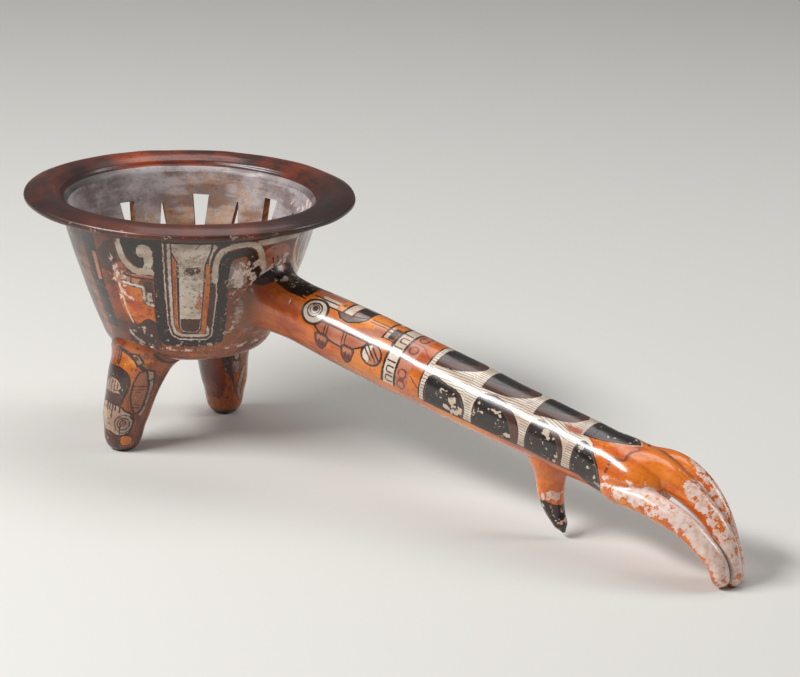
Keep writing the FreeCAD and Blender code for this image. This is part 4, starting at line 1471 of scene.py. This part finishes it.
# %% Skin over solids
def skin(nodes, voxel, rounds, move=None):
    """One even skin over copies of these solids, smoothed this many rounds."""
    parts = []
    for node in nodes:
        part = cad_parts[node].data.copy()
        part.materials.clear()
        places = points_of(part) - [bowl_x, 0, 0]
        set_points(part, places if move is None else move(node, places))
        parts.append(linked("part", part))
    body = parts[0]
    weld = body.modifiers.new("weld", "WELD")
    weld.merge_threshold = 0.002 * MM
    with bpy.context.temp_override(active_object=body, object=body, selected_objects=parts,
                                   selected_editable_objects=parts):
        if len(parts) > 1:
            bpy.ops.object.join()
    remesh = body.modifiers.new("skin", "REMESH")
    remesh.mode = "VOXEL"
    remesh.voxel_size = voxel * MM
    if rounds:
        soften = body.modifiers.new("soften", "SMOOTH")
        soften.factor = 0.5
        soften.iterations = rounds
    return finished_mesh(body)


# %% Legs
leg_foot_x, leg_foot_y = -9.6, 48.2
leg_lean_x, leg_lean_y, leg_top_height = 0.109, 0.25, 62.0


def leg_axis(side, height):
    lean_here = height * np.abs(height) / leg_top_height
    return leg_foot_x + leg_lean_x * lean_here, side * (leg_foot_y - leg_lean_y * lean_here)


def paint_near_leg(canvas):
    """The near leg: a dark field with a comb, a pale field in line work, and an eye at the foot."""
    ink, fill, draw = canvas.ink, canvas.fill, canvas.draw
    paint, area, stroke, disc = canvas.paint, canvas.area, canvas.stroke, canvas.disc
    draw("line", [(3, 64), (8, 59), (14, 57)], 1.4)
    for a in (-13.6, -12.2):
        ink([(a, 63), (a + 0.4, 55)])
    draw("line", [(-14, 65), (-7, 62), (0, 55), (4, 52)], 2.0)
    slip = area([(-7, 63), (-3.5, 63), (0, 58), (-2, 55.6)])
    canvas.outlined("cream", slip, 1.0)
    ink([(-4.6, 61), (-2.6, 59.6)])

    field = area([(-22, 51), (-17, 53), (-12, 53.6), (-8, 52.4), (-5, 50), (-3, 46), (-2.5, 41), (-3.5, 36),
                  (-5, 31), (-12, 31), (-22, 33)], True)
    canvas.outlined("black", field, 1.0)
    comb = area([(-17.5, 39.8), (-17, 44), (-14.5, 46.2), (-11, 46.2), (-8, 44), (-7.2, 40.4)], True)
    paint("cream", comb)
    for a in (-15.6, -13.2, -10.9, -8.9):
        ink([(a, 45), (a + 0.2, 40)], 0.7)
    draw("cream", [(-18, 39), (-7, 38.4)], 1.2, False)
    fill("brown", [(-17, 37), (-7, 36.6), (-6, 33.5), (-9, 31.6), (-16, 32)], True)

    pale = area([(0, 52), (-1, 45), (0, 36), (2, 30), (5, 25.5), (8, 28), (9, 33), (8.5, 40), (6, 47),
                 (3, 53)])
    canvas.outlined("pink", pale, 0.9)
    for low, high in ((41.0, 41.2), (43.0, 43.0), (31.0, 32.8), (29.0, 31.2)):
        paint("line", np.maximum(stroke([(-0.6, high), (6.6, low)], 0.7, False), pale))
    canvas.outlined("cream", area([(3, 53.5), (6.6, 52.6), (9, 48), (6, 46.4)]), 0.9)
    strip = stroke([(8.2, 46), (9.7, 42), (10.7, 35), (10.6, 29), (8.8, 25)], 2.4)
    canvas.outlined("cream", strip, 0.8)
    for b in (44, 41.5, 39, 36.5, 34, 31.5, 29):
        ink([(11.4, b), (14.4, b + 1.2)], 0.7)

    low = area([(-19, 30), (-14, 32), (-9, 31), (-5, 30.5), (-1, 27.5), (2, 26.4), (5, 22.5), (5.6, 18),
                (4.6, 14), (1.5, 11.8), (-4, 11), (-10, 13), (-17, 15)], True)
    canvas.outlined("cream", low, 1.2)
    for a, b0, b1 in ((-13.5, 33, 26.5), (-11.6, 32, 27.5), (-9.4, 33, 22), (-7.4, 31, 27),
                      (-4.6, 31.5, 26.5)):
        ink([(a, b0), (a + 0.3, b1)], 0.9)
    eye = disc(-0.6, 19, 5.6)
    paint("line", np.abs(disc(-0.6, 19, 5.9)) - 0.35)
    paint("grey", disc(-0.6, 19, 4.4))
    paint("line", np.abs(disc(-0.6, 19, 3.9)) - 0.4)
    paint("cream", disc(-0.8, 19.2, 3.2))
    paint("line", np.abs(disc(-1.0, 19.4, 1.9)) - 0.4)
    paint("pink", disc(-1.0, 19.4, 1.3))
    paint("line", np.maximum(stroke([(-2.6, 17.5), (-2.8, 9.5)], 0.8, False), -eye - 4.4))

    fill("brown", [(-18, 12), (-9, 11.5), (-3, 9.6), (-2.5, 5), (-4, 2), (-18, 2)], True)
    toe = area([(-1.6, 10.6), (3, 11.6), (7, 10), (7.4, 6), (3, 4.4), (-1, 5.2)], True)
    canvas.outlined("ground", toe, 0.9)


def paint_far_leg(canvas):
    """The far leg: dark on its left, a black shape and worn fields on its right."""
    ink, fill, area, stroke = canvas.ink, canvas.fill, canvas.area, canvas.stroke
    fill("rust", [(-24, 66), (-6, 66), (-5, 40), (-4, 22), (-8, 12), (-24, 12)])
    fill("black", [(-5, 62), (2, 62), (1, 46), (-0.5, 40), (0.5, 30), (2.4, 15), (-0.6, 26), (-4.6, 33),
                   (-5.6, 44)], True)
    canvas.outlined("cream", area([(1, 45.5), (4, 46), (4.4, 41), (1.6, 40)], True), 0.8)
    fill("pink", [(4.6, 60), (9.6, 60), (9.8, 32), (5.4, 33)])
    for b in (52, 50, 40, 38):
        ink([(4.6, b), (9.6, b + 0.8)], 0.7)
    fill("grey", [(0.4, 38.6), (4.4, 38), (4, 32), (1.2, 31)], True)
    band_edge = stroke([(9.4, 33), (7, 28), (5.4, 22), (5.6, 16), (8, 11)], 3.2)
    canvas.outlined("cream", band_edge, 0.7)


def shade_crease(canvas, distance, reach=3.0, amount=0.8):
    """Painted shade in the crease where one piece of clay meets another, darkest at the join."""
    crease = amount * ramp(distance, reach, 0) ** 1.5
    canvas.mask["shade"] = np.maximum(canvas.mask["shade"], crease)


leg_voxel, leg_unit = 0.7, 14.5
leg_hollow_reach = 9.5
leg_front = {-1: math.atan2(-1.0, 0.75), 1: math.atan2(-0.55, 1.0)}


def make_leg(name, side):
    mesh = skin([name], leg_voxel, rounds=3)
    points = points_of(mesh)
    centre = np.stack([*leg_axis(side, points[:, 2]), points[:, 2]], axis=1)
    outer = np.hypot(*(points - centre)[:, :2].T) > leg_hollow_reach
    distance = outside_bowl(points)
    flared = flare_to(points, outside_bowl, centre, reach=10.0, spread=4.6, bed=1.4)
    points = np.where(outer[:, None], flared, points)
    points[:, 2] = np.maximum(points[:, 2], 0)
    set_points(mesh, points)
    turn = np.arctan2(points[:, 1] - centre[:, 1], points[:, 0] - centre[:, 0]) - leg_front[side]
    turn = (turn + math.pi) % (2 * math.pi) - math.pi
    canvas = Canvas(turn * leg_unit, points[:, 2])
    canvas.flow = np.c_[turn * leg_unit, points[:, 2] / 4, np.zeros(len(points))]
    if side < 0:
        paint_near_leg(canvas)
        canvas.shaded("warm", canvas.area([(-2, 11), (7, 11), (8, 4), (-1, 4)]), 1.0, 2)
        canvas.shaded("warm", canvas.area([(-14, 64), (6, 62), (3, 52), (-12, 54)]), 0.45, 6)
        canvas.shaded("pale", canvas.band(-30, -14, 8, 30), 0.3, 8)
    else:
        paint_far_leg(canvas)
        canvas.shaded("shade", canvas.band(-50, -14, 10, 70), 0.45, 12)
    canvas.mask["wear"] = 0.5 * ramp(points[:, 2], 9, 0)
    # Painted shade at the foot, where the leg meets the ground, and in the crease against the bowl.
    canvas.shaded("shade", canvas.band(-60, 60, -5, 4), 0.7, 4)
    shade_crease(canvas, distance, 6.0, 0.6)
    canvas.keep(mesh)
    place_piece(name + "_painted", mesh, [name], [leg_clay])


make_leg("near_leg", -1)
make_leg("far_leg", 1)


# %% Claw
tuck_share, tuck_depth = 0.97, 4.0


def tuck_palm(node, points):
    """Draw the palm's flat start back into the handle, so that no seam shows."""
    if node != "claw_palm":
        return points
    x, radius, _ = handle_coordinates(points)
    edge = (np.abs(x - handle_end) < 0.05) & (radius > handle_bore + 1)
    axis = handle_root + along(handle_end) * handle_ahead
    drawn = points.copy()
    drawn[edge] = axis + (points[edge] - axis) * tuck_share - tuck_depth * handle_ahead
    return drawn


def meet_handle(points):
    """Bring the palm's start to the handle's own radius, so that the two run on as one."""
    x, radius, turn = handle_coordinates(points)
    skin_points = radius > skin_start
    turned = np.abs(turn) * around_radius
    wanted = handle_radius(x) - end_dip * ramp(x, handle_end - 1, handle_end - 4)
    room = 10 - 5 * ramp(turned, 18, 26)
    weight = ramp(x, handle_end + room, handle_end + 1)
    weight = weight * weight * (3 - 2 * weight) * skin_points
    axis = handle_root + np.outer(along(x), handle_ahead)
    scale = 1 + weight * (wanted / np.maximum(radius, TINY) - 1)
    return axis + (points - axis) * scale[:, None]


def surface_distances(nodes, points):
    """How far each point is from each plain solid's surface."""
    found = []
    for node in nodes:
        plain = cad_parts[node].data
        corners = [tuple(corner) for corner in points_of(plain) - [bowl_x, 0, 0]]
        tree = BVHTree.FromPolygons(corners, [tuple(face.vertices) for face in plain.polygons])
        found.append([tree.find_nearest(tuple(point))[3] for point in points])
    return np.array(found)


claw_voxel, bore_end_x = 0.62, 336
root_start, root_end = (308, 316), (352, 338)
groove_depth, crease_depth, groove_reach = 1.2, 0.7, 2.6


def shape_claw(mesh, points, x, outside, distances):
    """Even out the toes' roots and press in the grooves between the toes."""
    near_toe, middle_toe, far_toe, palm = distances
    joint = ramp(np.maximum(np.minimum(middle_toe, far_toe), palm), 9.6, 3.6)
    joint *= ramp(x, *root_start) * ramp(x, *root_end) * ramp(near_toe, 1, 4)
    points = relax(mesh, points, joint * outside, rounds=160)
    set_points(mesh, points)
    toe_gap = np.sort(distances[:3], axis=0)[1]
    groove = groove_depth * ramp(toe_gap, groove_reach, 0) ** 1.3 * ramp(x, bore_end_x, 350)
    crease = crease_depth * ramp(np.maximum(near_toe, palm), groove_reach, 0) ** 1.5 * ramp(x, 316, 326)
    points = points - normals_of(mesh) * (np.maximum(groove, crease) * outside)[:, None]
    points[:, 2] = np.maximum(points[:, 2], 0)
    set_points(mesh, points)
    return toe_gap


def make_claw():
    nodes = ["near_toe", "middle_toe", "far_toe", "claw_palm"]
    mesh = skin(nodes, claw_voxel, rounds=3, move=tuck_palm)
    points = meet_handle(points_of(mesh))
    set_points(mesh, points)
    x, radius, turn = handle_coordinates(points)
    outside = radius > skin_start
    distances = surface_distances(nodes, points)
    toe_gap = shape_claw(mesh, points, x, outside, distances)
    canvas = Canvas(x, np.abs(turn) * around_radius)
    paint_feathers(canvas)
    weather_handle(canvas)
    canvas.draw("rust", [(328.6, 5), (326, 11), (326, 16.6), (319.7, 18.4), (318.6, 26.3)], 1.7)
    canvas.flow = handle_flow(x, turn)
    canvas.mask["pale"] = toe_pale_and_highlight(canvas, normals_of(mesh), x, distances) * (outside | (x > bore_end_x))
    canvas.mask["wear"] = np.maximum(canvas.mask["wear"], 0.4 * ramp(x, 345, 385))
    # Painted shade: the handle's stays only by the palm's start, and the grooves between the toes and the
    # toes on the ground are darker.
    canvas.mask["shade"] *= ramp(x, 322, 310)
    shade_crease(canvas, toe_gap, 2.2, 0.9)
    canvas.shaded("shade", points_of(mesh)[:, 2] - 1.6, 0.4, 3)
    canvas.keep(mesh)
    place_piece("claw_orange", mesh, nodes, [claw_clay])


def facing(normals, x, y, z):
    """How far each normal turns to this direction, 1 when it points there."""
    along_it = normals[:, 0] * x + normals[:, 1] * y + normals[:, 2] * z
    return along_it / np.sqrt(x * x + y * y + z * z)


def relax(mesh, points, weight, rounds):
    """Even out the skin where the weight is high: each point moves towards its neighbours' middle."""
    edges = np.empty(len(mesh.edges) * 2, np.int32)
    mesh.edges.foreach_get("vertices", edges)
    one, other = edges.reshape(-1, 2).T
    ends, starts = np.r_[one, other], np.r_[other, one]
    near = weight[ends] > 0
    ends, starts = ends[near], starts[near]
    count = np.maximum(np.bincount(ends, minlength=len(points)), 1)
    points = points.copy()
    for _ in range(rounds):
        middles = np.stack([np.bincount(ends, points[starts, axis], len(points)) for axis in range(3)], 1)
        points += (middles / count[:, None] - points) * (0.6 * weight)[:, None]
    return points


def toe_pale_and_highlight(canvas, normals, x, distances):
    """Where the toes are pale: the near toe rubbed pale, most where it faces up, and beyond the bend
    painted highlights along the middle toe's crest and the far toe's lit outer edge, over pale wear.
    """
    on_near, on_middle, on_far = (ramp(distances[i], 2.2, 1.4) for i in range(3))
    root = canvas.area([(315, 36), (318, 27), (330, 25.5), (340, 24), (348, 15), (420, 15), (420, 64),
                        (315, 64)])
    wide = ramp(x, 342, 386)
    crest = facing(normals, 0.2 + 0.8 * wide, -0.12, 1.0 - 0.6 * wide)
    lit_outer_edge = facing(normals, 0.7, 0.5, 0.5)
    near = np.maximum(on_near, ramp(x, 346, 340)) * ramp(root, 0.75, -0.75)
    near *= 0.38 + 0.10 * wide + 0.60 * np.clip(crest, -0.6, 0.6)
    middle = 0.60 * on_middle * ramp(crest + 0.8 * wide, 0.55, 1.0) * ramp(x, 338, 368)
    far = 0.60 * on_far * ramp(lit_outer_edge + 0.8 * wide, 0.45, 0.9) * ramp(x, 336, 360)
    return np.maximum(np.maximum(near, middle), far)


make_claw()


# %% Rear talon
def outside_handle(points):
    """Distance from the handle's surface."""
    x, radius, _ = handle_coordinates(points)
    return radius - handle_radius(x)


talon_x, talon_voxel = 270.4, 0.6


def make_talon():
    mesh = skin(["rear_talon"], talon_voxel, rounds=6)
    points = points_of(mesh)
    distance = outside_handle(points)
    centre = points * [0, 0, 1] + [talon_x, 0, 0]
    points = flare_to(points, outside_handle, centre, reach=8.0, spread=3.6, bed=1.2)
    set_points(mesh, points)
    canvas = Canvas(points[:, 0], points[:, 2])
    canvas.flow = points / [1, 1, 3]
    canvas.fill("black", [(250, -5), (290, -5), (290, 18), (278, 20), (270, 23), (264, 21), (250, 22)])
    canvas.shaded("pale", np.abs(canvas.b - 25.5) - 3.5, 0.50, 4)
    canvas.shaded("pale", 5.0 + canvas.a - 268, 0.40, 6)
    canvas.shaded("wear", canvas.band(250, 290, -5, 22), 0.45, 2)
    # Painted shade at the talon's top, under the handle, and in the crease where it joins the handle.
    canvas.shaded("shade", 34.0 - canvas.b, 0.25, 6)
    shade_crease(canvas, distance, 4.0, 0.5)
    canvas.keep(mesh)
    place_piece("rear_talon_painted", mesh, ["rear_talon"], [claw_clay])


make_talon()

# %% [markdown]
# The rattle pellets stay as they are: plain balls of bare clay, shut in the handle
# and in the legs.

# %% Pellets
pellets = [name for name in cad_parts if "pellet" in name]
for name in pellets:
    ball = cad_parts[name]
    ball.data.materials.clear()
    ball.data.materials.append(pellet_clay)
print("pellets", pellets)
